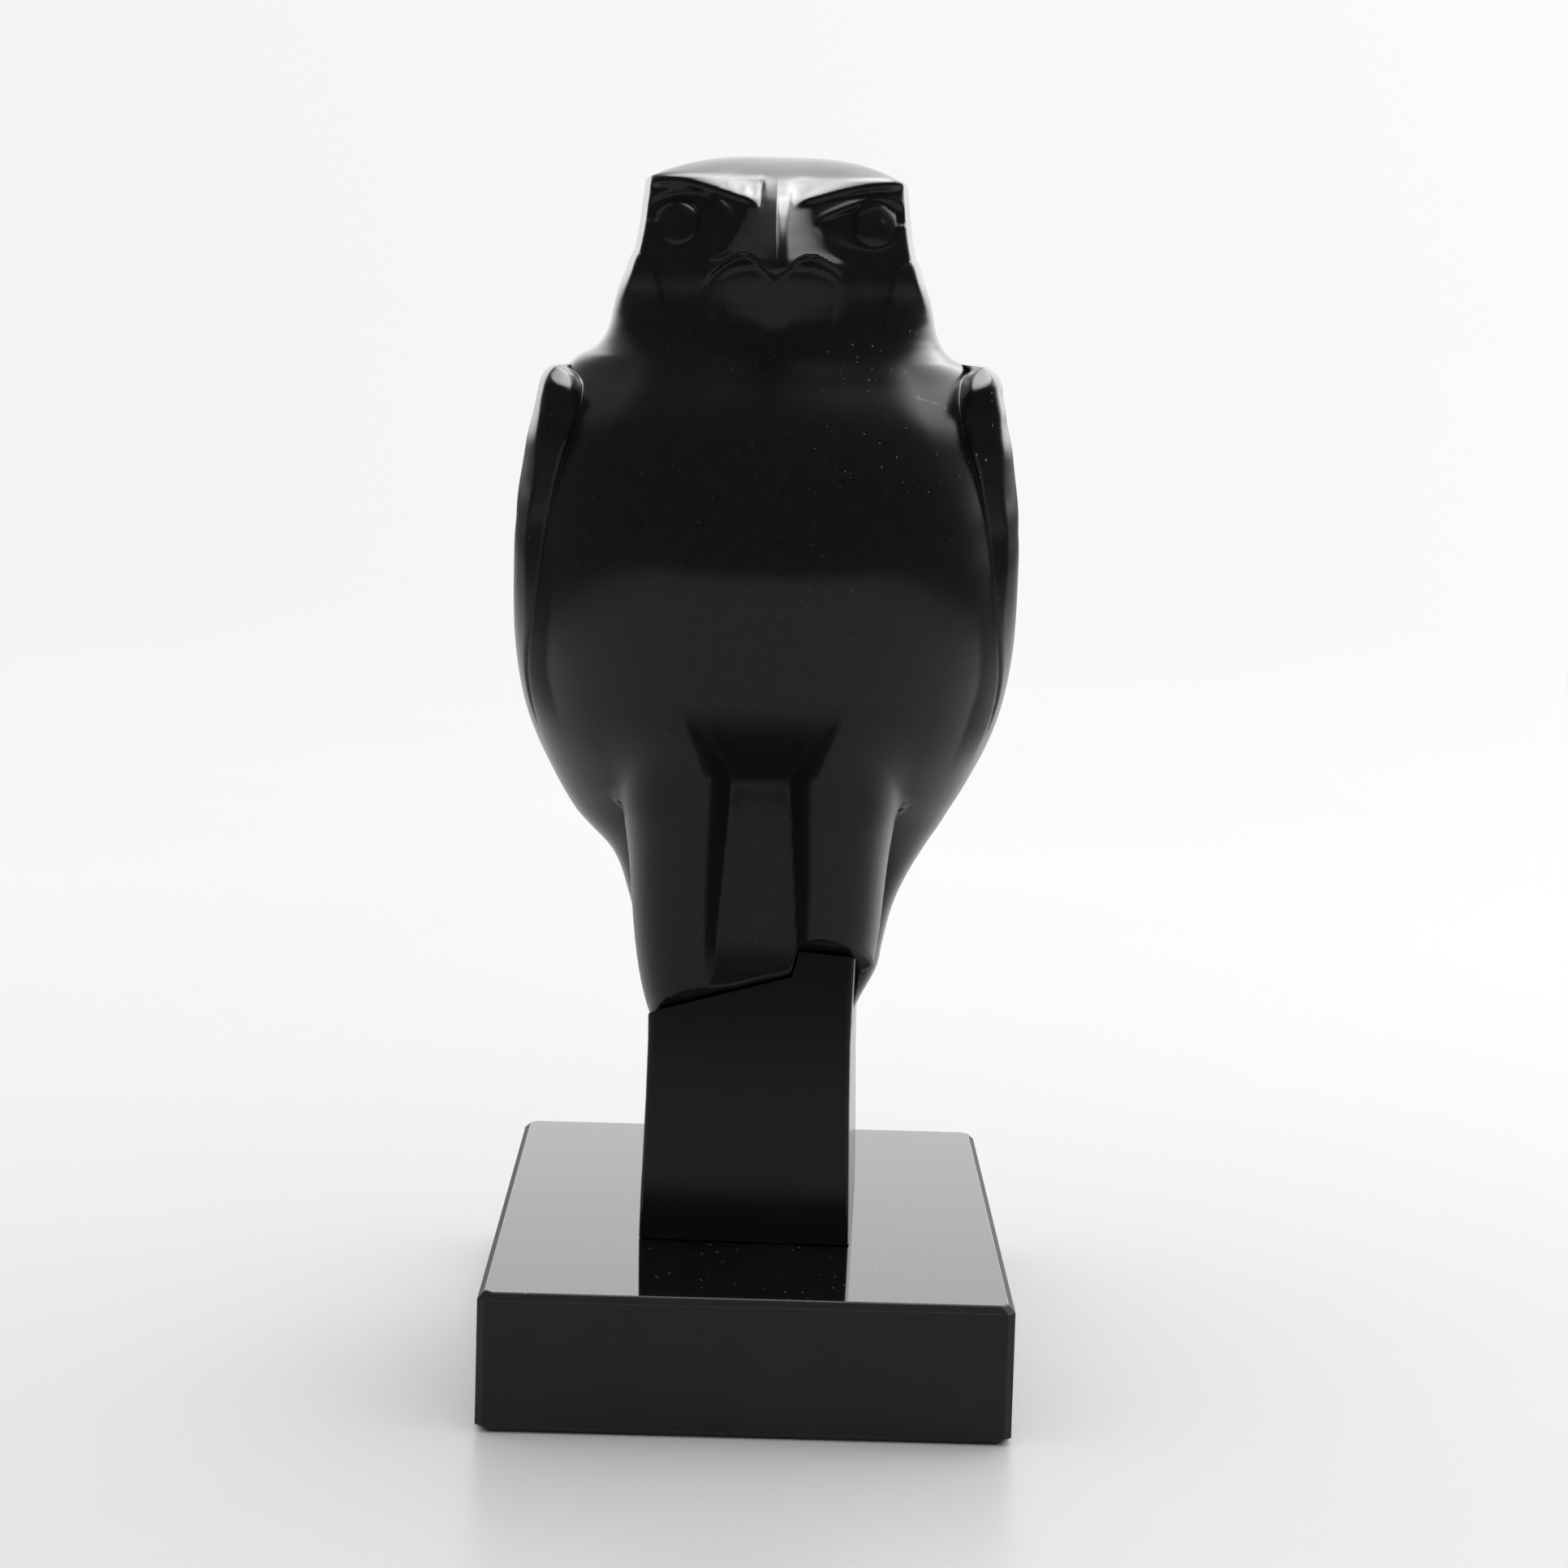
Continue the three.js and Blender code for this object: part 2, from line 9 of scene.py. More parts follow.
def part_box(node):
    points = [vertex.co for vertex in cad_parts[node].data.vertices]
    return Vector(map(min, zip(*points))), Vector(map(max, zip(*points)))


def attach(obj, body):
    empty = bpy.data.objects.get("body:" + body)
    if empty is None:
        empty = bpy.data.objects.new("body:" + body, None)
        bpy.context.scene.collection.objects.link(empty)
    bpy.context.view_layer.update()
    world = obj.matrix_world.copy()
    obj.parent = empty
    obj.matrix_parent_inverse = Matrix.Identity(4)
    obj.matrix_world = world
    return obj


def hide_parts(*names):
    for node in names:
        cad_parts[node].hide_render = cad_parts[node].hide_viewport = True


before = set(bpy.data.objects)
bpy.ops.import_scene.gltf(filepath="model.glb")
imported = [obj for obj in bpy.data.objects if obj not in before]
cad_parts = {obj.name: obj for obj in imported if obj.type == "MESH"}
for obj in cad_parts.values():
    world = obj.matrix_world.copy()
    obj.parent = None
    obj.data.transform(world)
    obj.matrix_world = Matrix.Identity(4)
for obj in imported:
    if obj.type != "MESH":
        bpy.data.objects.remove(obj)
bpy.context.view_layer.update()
print("frame loaded")

scene = bpy.context.scene
figureLow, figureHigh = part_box("falcon")
share = (figureHigh.z - figureLow.z) / 100        # the figure is reckoned in hundredths of its height


# curves and steps that every piece uses

def along(height, knots):
    # a smooth curve through knots of place and value: each stretch is a cubic whose slope at a knot
    # is that of the line between its neighbours
    places, values = np.array(knots, float).T
    slope = np.empty(len(places))
    slope[1:-1] = (values[2:] - values[:-2]) / (places[2:] - places[:-2])
    slope[0] = (values[1] - values[0]) / (places[1] - places[0])
    slope[-1] = (values[-1] - values[-2]) / (places[-1] - places[-2])
    height = np.clip(height, places[0], places[-1])
    i = np.clip(np.searchsorted(places, height, side="right") - 1, 0, len(places) - 2)
    span = places[i + 1] - places[i]
    s = (height - places[i]) / span
    return (values[i] * (2 * s**3 - 3 * s**2 + 1) + slope[i] * span * (s**3 - 2 * s**2 + s)
            + values[i + 1] * (3 * s**2 - 2 * s**3) + slope[i + 1] * span * (s**3 - s**2))


def ramp(a, b, value):
    # 0 at a and 1 at b, with a soft start and end
    s = np.clip((value - a) / (b - a), 0, 1)
    return s * s * (3 - 2 * s)


def hump(distance, width):
    # a bell: e to the power of minus the square of distance over width
    return np.exp(-(distance / width) ** 2)


def rounded(distance, width):
    # a quarter circle: rises from 0 at the edge to 1 at a width from it
    return np.sqrt(1 - (1 - np.clip(distance / width, 0, 1)) ** 2)


def joined(a, b, width):
    # the larger of two lengths, with the corner between them rounded over a width
    mix = np.clip(0.5 + 0.5 * (a - b) / width, 0, 1)
    return b + (a - b) * mix + width * mix * (1 - mix)


def oval(sine, cosine, halfWidth, depth, power):
    # radius of an oval: one over the root of the summed powers of sine over width and cosine over depth
    return ((sine / halfWidth) ** power + (np.abs(cosine) / depth) ** power) ** (-1 / power)


def acrossLine(x, height, knots):
    # signed distance of a place from a line through knots, above it positive
    place = along(x, knots)
    slope = (along(x + 0.05, knots) - along(x - 0.05, knots)) / 0.1
    return (height - place) / np.sqrt(1 + slope**2)


def ripple(x, y, z, scale, seed):
    # soft unevenness: a sum of five sine waves that run in different directions, between -1 and 1
    draw = np.random.default_rng(seed)
    total = 0
    for _ in range(5):
        way = draw.normal(size=3)
        way = way / np.linalg.norm(way) * 2 * math.pi / scale * draw.uniform(0.7, 1.5)
        total = total + np.sin(x * way[0] + y * way[1] + z * way[2] + draw.uniform(0, 6.28))
    return total / 5


def makePiece(name, places, faces, material, node):
    # a mesh of one piece from its faces and its places in metres, each with a fourth number: its painted
    # shade, and on the break its dullness
    mesh = bpy.data.meshes.new(name)
    mesh.from_pydata(places[:, :3].tolist(), [], faces)
    mesh.attributes.new("dullAndShade", "FLOAT", "POINT").data.foreach_set("value", places[:, 3])
    mesh.validate()
    mesh.update()
    mesh.polygons.foreach_set("use_smooth", np.ones(len(mesh.polygons), bool))
    piece = bpy.data.objects.new(name, mesh)
    scene.collection.objects.link(piece)
    mesh.materials.append(material)
    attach(piece, "root")
    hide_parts(node)


def ringFaces(rows, columns):
    # quads of a grid whose rows are closed rings, turned so that they face outwards
    i = np.arange(rows - 1)[:, None] * columns
    j = np.arange(columns)[None, :]
    following = (j + 1) % columns
    return np.stack([i + j, i + following, i + columns + following, i + columns + j], -1).reshape(-1, 4)


def closedRings(rings):
    # places and faces of stacked rings, with one middle point that closes each end
    rows, columns = rings.shape[:2]
    middles = [rings[0].mean(0)[None], rings[-1].mean(0)[None]]
    places = np.concatenate([rings.reshape(rows * columns, -1), *middles])
    low, high = len(places) - 2, len(places) - 1
    j = np.arange(columns)
    following = (j + 1) % columns
    bottom = np.stack([np.full(columns, low), following, j], -1)
    last = (rows - 1) * columns
    top = np.stack([last + j, last + following, np.full(columns, high)], -1)
    return places, ringFaces(rows, columns).tolist() + bottom.tolist() + top.tolist()


# the figure's form, in hundredths of its height: heights from 0 at the tail's end to 100 at the crown,
# widths from its middle plane, and depths along Y, the front negative

body = dict(
    halfWidth=[(-4, 10.9), (2.2, 11.5), (7.5, 13.8), (13.8, 15.6), (18.8, 17.9), (23.8, 21.8),
               (31.3, 25.8), (38, 27.8), (46.4, 28.6), (56.4, 27.7), (66.5, 25.7), (69.5, 24.9),
               (72.5, 23.3), (76.5, 20.7), (79, 19.4), (82.8, 17.8), (90.3, 15.9), (97.2, 15)],
    shoulder=[(58, 0), (64, 0.6), (70, 1.6), (73, 2.2), (75, 2.3), (76.2, 2.2), (77, 1.7), (77.6, 0.8),
              (78.4, 0.2), (79.5, 0)],
    shoulderFrom=0.7,
    shoulderTo=1.3,
    rightBulge=[(0, 0.1), (1.3, 0.5), (3.8, 0.9), (6.3, 1.0), (9, 0.6), (14, 0.55), (19, 0.8), (22, 0.3),
                (24, 0)],
    front=[(-4, -10.3), (8.8, -10.3), (18.8, -11.5), (24, -15), (28.5, -19.8), (33.2, -24.2),
           (39.5, -27.6), (44.5, -29.8), (50.2, -31.9), (53.5, -32.8), (56, -33.1), (60, -33.1),
           (65.2, -32.2), (70.8, -30.1), (75.2, -27.6), (79.5, -25.1), (83, -24), (86.5, -23.5),
           (97.2, -22)],
    back=[(-4, 20), (8, 21.3), (18.8, 22.6), (30, 23.5), (42.6, 23.5), (55.2, 21.6), (64.6, 18.2),
          (72.7, 14.1), (79, 11.6), (85.3, 10.3), (91.5, 9.7), (97.2, 7.5)],
    middle=[(-4, 3.8), (20.7, 2.5), (39.5, 0.6), (55.2, -1.3), (74, -3.1), (83.4, -4.4), (97.2, -5)],
    frontPower=[(-4, 6), (8.8, 5), (18.8, 2.6), (27, 2.2), (55.2, 2.15), (64, 2.3), (69.5, 2.3),
                (75.5, 2.25), (79, 2.4), (84, 3.1), (88, 4.2), (91.5, 4.8), (97.2, 4.8)],
    backPower=[(-4, 3.4), (8.8, 2.8), (20.7, 2.2), (55.2, 2.1), (80.3, 2.2), (97.2, 2.6)])

legs = dict(
    halfWidth=[(-4, 11.9), (0, 12.3), (3.4, 13.4), (6.3, 14.1), (11, 14.8), (20.1, 15.7), (25.1, 16.6),
               (28.8, 17.6), (32.6, 19.2), (37, 21.5), (42.6, 23.8)],
    front=[(-4, -18.6), (8.2, -21.3), (18.8, -23.7), (27, -25.6), (33.2, -27), (38.9, -28.5),
           (43.9, -30.1), (48.9, -31.3)],
    power=[(-4, 4.6), (11.3, 4.2), (23.8, 3.4), (31.3, 2.7), (39.5, 2.25)],
    rear=-15.5,
    blend=[(18, 0.6), (27, 0.9), (33, 1.7), (40, 2.8)],
    fadeLow=34,
    fadeHigh=56,
    recessDepth=[(5.5, 0), (8, 0.9), (11, 1.6), (15, 2.1), (20.7, 2.7), (27, 3.3), (29.6, 3.6),
                 (30.4, 3.6), (32, 3.0), (36, 1.2), (38.6, 0.2), (40, 0)],
    recessInner=[(8, 4.7), (14, 4.6), (20, 4.2), (30, 3.6), (31, 3.8), (35, 5.6), (38.6, 7.4), (40, 8)],
    recessOuter=[(8, 6.0), (20, 6.3), (30, 6.1), (31, 6.1), (35, 7.7), (38.6, 9.2), (40, 9.6)],
    fadeDepth=7.5,
    behindDepth=0.3,
    behindTurn=0.14,
    behindFade=(29, 21),
    wallSoft=0.3,
    wallStraight=0.7,
    shadedOuter=(0, 0.3),
    shadedInner=(1, 0.9),
    shadedLow=(5.5, 12),
    shadedTop=(0, 0.5),
    shadedCeiling=(29.4, 30.6),
    shadedHigh=(40, 34.5))

wing = dict(
    inner=[(29, 23.2), (32.5, 25.1), (36.4, 26.6), (41.4, 27.2), (48.9, 26.3), (53.5, 25.7), (59, 24.8),
           (64.6, 23.6), (69, 22.4), (73, 21.8), (80.3, 21.6)],
    thick=[(27.5, 0), (31.3, 0.15), (37.6, 0.45), (46.4, 0.7), (51.4, 1.05), (56.4, 1.6), (61.4, 1.85),
           (66.5, 1.5), (70, 1.1), (73, 1.65), (75, 2.6), (76.2, 3.3), (77, 4), (77.6, 5)],
    step=[(27.5, -0.3), (29.5, 0.06), (38, 0.12), (45, 0.14), (56.4, 0.22), (65, 0.35), (70, 0.45),
          (75, 0.5)],
    ahead=[(40, 0), (50, 12), (56, 13.7), (60, 14.6), (64, 15.3), (68, 15.8), (71, 15.9), (74, 15.6),
           (77, 15)],
    turn=[(62, 0.77), (68, 0.66), (73, 0.42), (77, 0.35)],
    innerHold=0.98,
    turnEnd=1.5,
    facetBelow=2.8,
    facetSlope=1.2,
    facetLead=0.1,
    facetSoft=0.8,
    flankPower=[(62, 2), (72, 2.3)],
    tipBulge=1.0,
    domeMiddle=0.38,
    cornerRound=[(60, 0.3), (70, 0.8), (77, 1.3)],
    sideDepth=[(36, 1), (46, 1.05), (56, 1.12), (64, 1.2), (72, 1.5)],
    edgeRound=[(45, 0.3), (65, 0.5), (72, 0.75), (75.5, 0.85)],
    tip=24.3,
    tipTilt=-0.3,
    top=76.5,
    topTilt=0.6,
    topDrop=7,
    topRound=2.3,
    rearThick=0.7,
    lowEdge=[(1.9, 26), (2.2, 24.5), (2.8, 19), (3.15, 18)],
    seamDepth=0.45,
    shadeWide=[(30, 3.0), (36, 3.7), (42, 3.1), (50, 2.4), (58, 1.8)],
    shadeSoft=0.9,
    shadeDeep=0.85,
    shadeRight=(29.5, 36),
    shadeLeft=(32, 40),
    dropTurn=(1.3, 2.9),
    turnSpare=0.1,
    partLow=(48, 56),
    partHigh=(79.5, 77.6),
    turnLimit=1.2,
    facetReach=8,
    domeLimit=2,
    domeReach=(-6, -3),
    edgeSpare=0.0001,
    thinnest=0.3,
    edgeHold=0.99,
    edgeJoin=0.8,
    rearTurn=(1.5, 2.1),
    rearEnd=(2.9, 1.75),
    lowRound=1.2,
    seamWide=0.7,
    seamLow=(20, 24),
    seamHigh=(72, 68),
    shadeStart=0.5,
    shadeHigh=(60, 50))

head = dict(
    sideTurn=1.5,
    sideSpare=0.07,
    wedge=[(77.5, 0), (79.5, 0.35), (81.5, 1.1), (84.6, 3.0), (87.1, 4.7), (89.7, 5.4), (92.8, 5),
           (94.7, 3.8), (95.9, 2.1), (97.2, 0.2)],
    wedgeHalf=13.2,
    beak=[(78, 0), (80, 0.7), (82, 2.1), (84.2, 4.0), (86.2, 5.4), (87.5, 5.8), (89, 5.1), (90.9, 4),
          (92.8, 2.7), (94.4, 1.6), (97.2, 0)],
    beakHalf=[(85.9, 8), (87.9, 7.6), (89, 5.8), (90.3, 4.8), (91.8, 4.0), (93.8, 3.2), (97.2, 2.4)],
    beakSharp=1.3,
    ridgeStrip=0.9,
    mouth=[(0, 86.2), (0.55, 86.6), (1.4, 87.4), (2.25, 88.3), (3.6, 88.7), (5.45, 87.8), (7.3, 86.1),
           (8.5, 84.6), (12.5, 80.3)],
    chin=[(77.5, 0), (79, 0.25), (80.5, 1.0), (83, 2.5), (86, 4.1), (88.7, 5.1)],
    chinHalf=9.5,
    mouthRight=1.12,
    lip=[(0, 85.6), (1.6, 87.2), (3.0, 87.3), (5.0, 86.8), (6.1, 86.0), (7.2, 85.0)],
    lipDepth=[(0.8, 0), (1.8, 0.22), (5.0, 0.22), (6.4, 0), (7, 0)],
    browRight=[(2, 94.5), (3.2, 95.0), (8, 96.3), (13, 97.0), (16, 97.2)],
    browLeft=[(2, 94.5), (3.5, 95.05), (9.8, 96.7), (13.5, 96.6), (16, 96.4)],
    browDepth=1.1,
    eyeRight=(10.95, 92.5),
    eyeLeft=(10.95, 92.2),
    eyeRadius=2.5,
    eyeDome=1.1,
    pupil=0.3,
    lidRight=[(4.4, 92.5), (5.2, 93.1), (7.1, 94.0), (9.5, 94.9), (10.7, 95.4), (12.6, 95.3), (14.5, 94.6)],
    lidLeft=[(4.3, 91.6), (4.6, 92.1), (5.7, 93.7), (7.65, 95.5), (10.6, 96.0), (13.5, 95.2), (14.5, 94.4)],
    socketDepth=0.7,
    socketInner=6.2,
    socketOuter=2.95,
    lappet=[(79.9, 12.4), (83.4, 12.1), (84.4, 12.55), (85.6, 12.75), (87.1, 13.3), (88.2, 14.5),
            (89.2, 16.5)],
    lappetLift=0.34,
    foreheadDents=((4.1, 95.9, 0.55), (2.7, 95.6, 0.5), (5.9, 96.3, 0.4)),
    foreheadCrease=1.75,
    rim=97.2,
    crownRise=2.8,
    sideLimit=1.3,
    sideJoin=0.5,
    flatFrom=(81, 88),
    faceTurn=(0.05, 0.35),
    faceFrom=(78.5, 80.5),
    wedgeSharp=1.15,
    ridgeSoft=1.6,
    mouthSoft=0.14,
    mouthEnd=(8.4, 7.2),
    lipSoft=0.12,
    lipFrom=(78.5, 82.5),
    browAbove=2.1,
    browBelow=0.95,
    browInner=(1.6, 3.8),
    browOuter=(15.4, 12.9),
    pupilPlace=(0.6, 0.05),
    pupilRadius=0.38,
    lidSoft=0.9,
    crest=0.2,
    crestOver=0.05,
    crestWide=0.34,
    crestInner=(3.9, 4.8),
    crestOuter=(14.6, 13.2),
    socketRight=(1.15, 0.68),
    socketLeft=(1.25, 0.5),
    socketTop=(1.5, 0.9),
    lappetEdge=(-0.1, 0.22),
    lappetLow=(79.6, 82.6),
    lappetHigh=(89.8, 87.4),
    lappetTurn=(1.95, 1.7),
    dentDepth=0.14,
    creaseDepth=0.28,
    creaseWide=0.32,
    creaseLow=(93.4, 94.6),
    creaseHigh=(97.3, 96.6),
    crownPower=2.7,
    crownShift=0.9)

bed = dict(
    leftHeight=7, leftTilt=0.27, rightHeight=11.1, rightTilt=-0.02, backSlope=0.42, slopeFrom=-20.7,
    sideStep=(4, 4.75), tailStep=(-11, -10), chipFront=(-13, -17), chipRight=0.6, chipRightFrom=(4.3, 7.5),
    chipRightTo=(15.5, 12), chipLeft=0.5, chipLeftFrom=(-2.5, -7), crumb=0.12, crumbSize=2.3, firstTurn=0.9,
    firstFront=7.5, firstRear=1.0, underPack=0.7, underMiddle=1.5, rough=0.1, roughSize=3.1, underDull=0.6)

grid = dict(
    half=196, frontShare=0.5, edgeShare=0.22, underRows=16, legRows=20, crownRows=18, level=19,
    edgeSpan=[(40, 0.1), (60, 0.14), (70, 0.26), (75, 0.45)],
    rows=[(19, 10), (28, 28), (42.5, 32), (70, 8), (73.6, 38), (77.4, 6), (79, 76)], headFrom=(77.2, 82),
    legFrom=(31, 24), plainStop=1.25, headPack=1.25, edgePack=1.5, rearEven=0.62, rearPack=0.38)


def wingClosing(angle, height, side):
    # 1 below the wing's rounded top and down to 0 along a quarter circle at the top itself
    top = wing["top"] + wing["topTilt"] * side - wing["topDrop"] * ramp(*wing["dropTurn"], angle)
    return np.sqrt(1 - np.clip((height - top) / wing["topRound"] + 1, 0, 1) ** 2), height - top


def wingEdge(height, side, halfWidth, depth, power):
    # the wing's front face at a height: its inner edge, how far it lies along its own turn, that turn, and
    # the angles at which the face and the trunk behind it reach the edge
    closing, _ = wingClosing(0.0, height, side)
    across, ahead = innerEdge(height, halfWidth, depth, power)
    turn = along(height, wing["turn"])
    face = across * np.sin(turn) + ahead * np.cos(turn) + along(height, wing["step"])
    tip = wing["tip"] + wing["tipTilt"] * side
    inner = tip + (across - tip) * closing
    onFace = np.arctan2(inner, (face - inner * np.sin(turn)) / np.cos(turn))
    held = np.minimum(inner / halfWidth, wing["innerHold"])
    onTrunk = np.arctan2(held * halfWidth, depth * (1 - held**power) ** (1 / power))
    gap = np.clip(onTrunk - onFace, 0, wing["turnEnd"] - wing["turnSpare"] - onFace)
    gap = gap * ramp(*wing["partLow"], height) * ramp(*wing["partHigh"], height)
    return inner, face, turn, onFace, onFace + gap


def wingPlate(angle, height, side, halfWidth, depth, edge):
    # the wing as a plate: a narrow front face with a facet at its tip, a corner and a side; the last number
    # is 0 at the inner edge and 1 past its rounding
    inner, face, turn, onFace, _ = edge
    closing, over = wingClosing(angle, height, side)
    tip = wing["tip"] + wing["tipTilt"] * side
    outer = tip + (halfWidth + along(height, wing["thick"]) - tip) * closing
    flank = oval(np.sin(angle), np.cos(angle), outer, depth * along(height, wing["sideDepth"]),
                 along(height, wing["flankPower"]))
    aside = np.clip(angle - turn, -wing["turnLimit"], wing["turnLimit"])
    plate = -joined(-flank, -face / np.cos(aside), along(height, wing["cornerRound"]))
    x, ahead = plate * np.sin(angle), plate * np.cos(angle)
    facet = along(height, wing["ahead"]) + wing["facetLead"]
    facet = facet - wing["facetSlope"] * (over + wing["facetBelow"])
    ahead = np.where(over > -wing["facetReach"], -joined(-ahead, -facet, wing["facetSoft"]), ahead)
    half = np.maximum((outer - inner) / 2, wing["thinnest"])
    fromDome = (x - inner - wing["domeMiddle"] * (outer - inner)) / half
    dome = np.minimum(fromDome**2, wing["domeLimit"]) * ramp(*wing["domeReach"], over)
    ahead = ahead - wing["tipBulge"] * dome
    past = rounded(x - inner, along(height, wing["edgeRound"])) * (angle > onFace + wing["edgeSpare"])
    return x, ahead, outer, past * (closing > 0)


def wingBehind(angle, height, side, halfWidth, outer):
    # how far the wing stands off the trunk behind its side: thinning out, rounded at its top and lower edge
    closing, _ = wingClosing(angle, height, side)
    low = along(angle, wing["lowEdge"])
    rear = wing["rearThick"] * ramp(*wing["rearTurn"], angle)
    rear = rear * rounded(height - low, wing["lowRound"]) * closing
    return np.maximum((outer - halfWidth) * ramp(*wing["rearEnd"], angle), rear) * (closing > 0)


def legRecess(x, height):
    # the panel between the legs: set back under the belly and coming flush towards the break
    inner, outer = along(height, legs["recessInner"]), along(height, legs["recessOuter"])
    wall = np.clip((x - outer) / (inner - outer), 0, 1)
    profile = legs["wallSoft"] * ramp(0, 1, wall) + legs["wallStraight"] * wall
    return along(height, legs["recessDepth"]) * profile, wall


def recessShade(wall, height):
    # painted shade on the panel: how far it is dulled and darkened along its walls and under the belly,
    # where shade falls
    walls = ramp(*legs["shadedOuter"], wall) * ramp(*legs["shadedInner"], wall) * ramp(*legs["shadedLow"], height)
    ceiling = ramp(*legs["shadedTop"], wall) * ramp(*legs["shadedCeiling"], height)
    return np.maximum(walls, ceiling) * ramp(*legs["shadedHigh"], height)


def innerEdge(height, halfWidth, depth, power):
    # where the wing's inner edge lies on the oval: its place across and ahead of the middle
    across = along(height, wing["inner"])
    held = np.minimum(across / halfWidth, wing["edgeHold"])
    onOval = depth * (1 - held**power) ** (1 / power)
    return across, joined(onOval, along(height, wing["ahead"]), wing["edgeJoin"])


def wingShade(within, height, side):
    # painted shade: how far the trunk is dulled and darkened in a strip along the wing's inner edge
    end = along(height, wing["shadeWide"])
    shade = wing["shadeDeep"] * ramp(0, wing["shadeStart"], within)
    shade = shade * ramp(end, end - wing["shadeSoft"], within)
    low = wing["shadeRight"] if side > 0 else wing["shadeLeft"]
    return shade * ramp(*low, height) * ramp(*wing["shadeHigh"], height)


def trunk(angle, height, side):
    # ring points of the body: an oval joined with the legs' block, set back between the legs, under the
    # wings; what comes back is their place across, their place along Y and their painted shade, a darker,
    # duller finish in the recess between the legs and beside the wings
    middle = along(height, body["middle"])
    halfWidth = along(height, body["halfWidth"]) + side * along(height, body["rightBulge"])
    front, frontPower = middle - along(height, body["front"]), along(height, body["frontPower"])
    shoulder = along(height, body["shoulder"])
    edge = wingEdge(height, side, halfWidth + shoulder, front, frontPower)
    onFace, onTrunk, last = *edge[-2:], wing["turnEnd"]
    wingAngle = angle
    angle = np.where(angle < onFace, angle * onTrunk / onFace, np.where(
        angle < last, onTrunk + (angle - onFace) * (last - onTrunk) / (last - onFace), angle))
    sine, cosine = np.sin(angle), np.cos(angle)
    inFront = cosine > 0
    depth = np.where(inFront, front, along(height, body["back"]) - middle)
    power = np.where(inFront, frontPower, along(height, body["backPower"]))
    onHead = inFront * ramp(*head["flatFrom"], height)
    radius = oval(sine, cosine, halfWidth * (1 + head["sideSpare"] * onHead), depth, power)
    aside = np.clip(angle - head["sideTurn"], -head["sideLimit"], head["sideLimit"])
    flat = halfWidth * math.sin(head["sideTurn"]) / np.cos(aside)
    radius = radius - onHead * (radius + joined(-radius, -flat, head["sideJoin"]))
    radius = radius + shoulder * ramp(body["shoulderFrom"], body["shoulderTo"], angle)
    legHalf = along(height, legs["halfWidth"])
    legDepth = middle - along(height, legs["front"])
    corner = np.arctan2(legHalf, middle - legs["rear"])
    behindLeg = legs["behindDepth"] * ramp(corner, corner + legs["behindTurn"], angle)
    behindLeg = behindLeg * ramp(*legs["behindFade"], height)
    block = oval(sine, cosine, legHalf, legDepth, along(height, legs["power"])) * (1 - behindLeg)
    block = block - legs["fadeDepth"] * ramp(legs["fadeLow"], legs["fadeHigh"], height)
    lower = inFront & (height < legs["fadeHigh"])
    radius = np.where(lower, joined(radius, block, along(height, legs["blend"])), radius)
    x = radius * sine
    recess, wall = legRecess(x, height)
    radius = radius - lower * recess
    # painted shade: the recess between the legs and a strip beside each wing get a darker, duller finish
    hollow = lower * recessShade(wall, height)
    shade = wingShade(edge[0] - x, height, side) * inFront
    wingX, wingAhead, outer, past = wingPlate(wingAngle, height, side, halfWidth + shoulder, front, edge)
    radius = radius + ~inFront * wingBehind(angle, height, side, halfWidth + shoulder, outer)
    seam = hump((math.pi - angle) * radius, wing["seamWide"])
    seam = seam * ramp(*wing["seamLow"], height) * ramp(*wing["seamHigh"], height)
    radius = radius - wing["seamDepth"] * seam
    lappet = ramp(*head["lappetEdge"], radius * sine - along(height, head["lappet"]))
    lappet = lappet * ramp(*head["lappetLow"], height) * ramp(*head["lappetHigh"], height)
    radius = radius + head["lappetLift"] * (lappet * ramp(*head["lappetTurn"], angle))
    past = past * inFront * (np.hypot(wingX, wingAhead) > radius)
    x = radius * sine + (wingX - radius * sine) * past
    ahead = radius * cosine + (wingAhead - radius * cosine) * past
    # the third value is painted shade, in the recess between the legs and beside the wings
    return x, middle - ahead, np.maximum(hollow, shade * (1 - past))


def eyeRelief(x, height, side):
    # lid, socket and eyeball: a hollow under the lid's line and inside an oval, with a dome standing in it
    eyeX, eyeHeight = head["eyeRight"] if side > 0 else head["eyeLeft"]
    lid = head["lidRight"] if side > 0 else head["lidLeft"]
    overX, overHeight = x - eyeX, height - eyeHeight
    reach = np.where(overX < 0, head["socketInner"], head["socketOuter"])
    inside = np.hypot(overX / reach, overHeight / head["socketOuter"])
    fromLid = acrossLine(x, height, lid)
    below = ramp(0, -head["lidSoft"], fromLid)
    hollow = np.minimum(below, ramp(*(head["socketRight"] if side > 0 else head["socketLeft"]), inside))
    hollow = np.where(overHeight > 0, below * ramp(*head["socketTop"], inside), hollow)
    distance = np.hypot(overX, overHeight) / head["eyeRadius"]
    dome = head["eyeDome"] * np.sqrt(np.clip(1 - distance**2, 0, 1))
    pupilX, pupilHeight = head["pupilPlace"]
    pupil = head["pupil"] * hump(np.hypot(overX - pupilX, overHeight - pupilHeight), head["pupilRadius"])
    crest = head["crest"] * hump(fromLid - head["crestOver"], head["crestWide"])
    crest = crest * ramp(*head["crestInner"], x) * ramp(*head["crestOuter"], x)
    return dome + pupil * (distance < 1) + crest - head["socketDepth"] * hollow


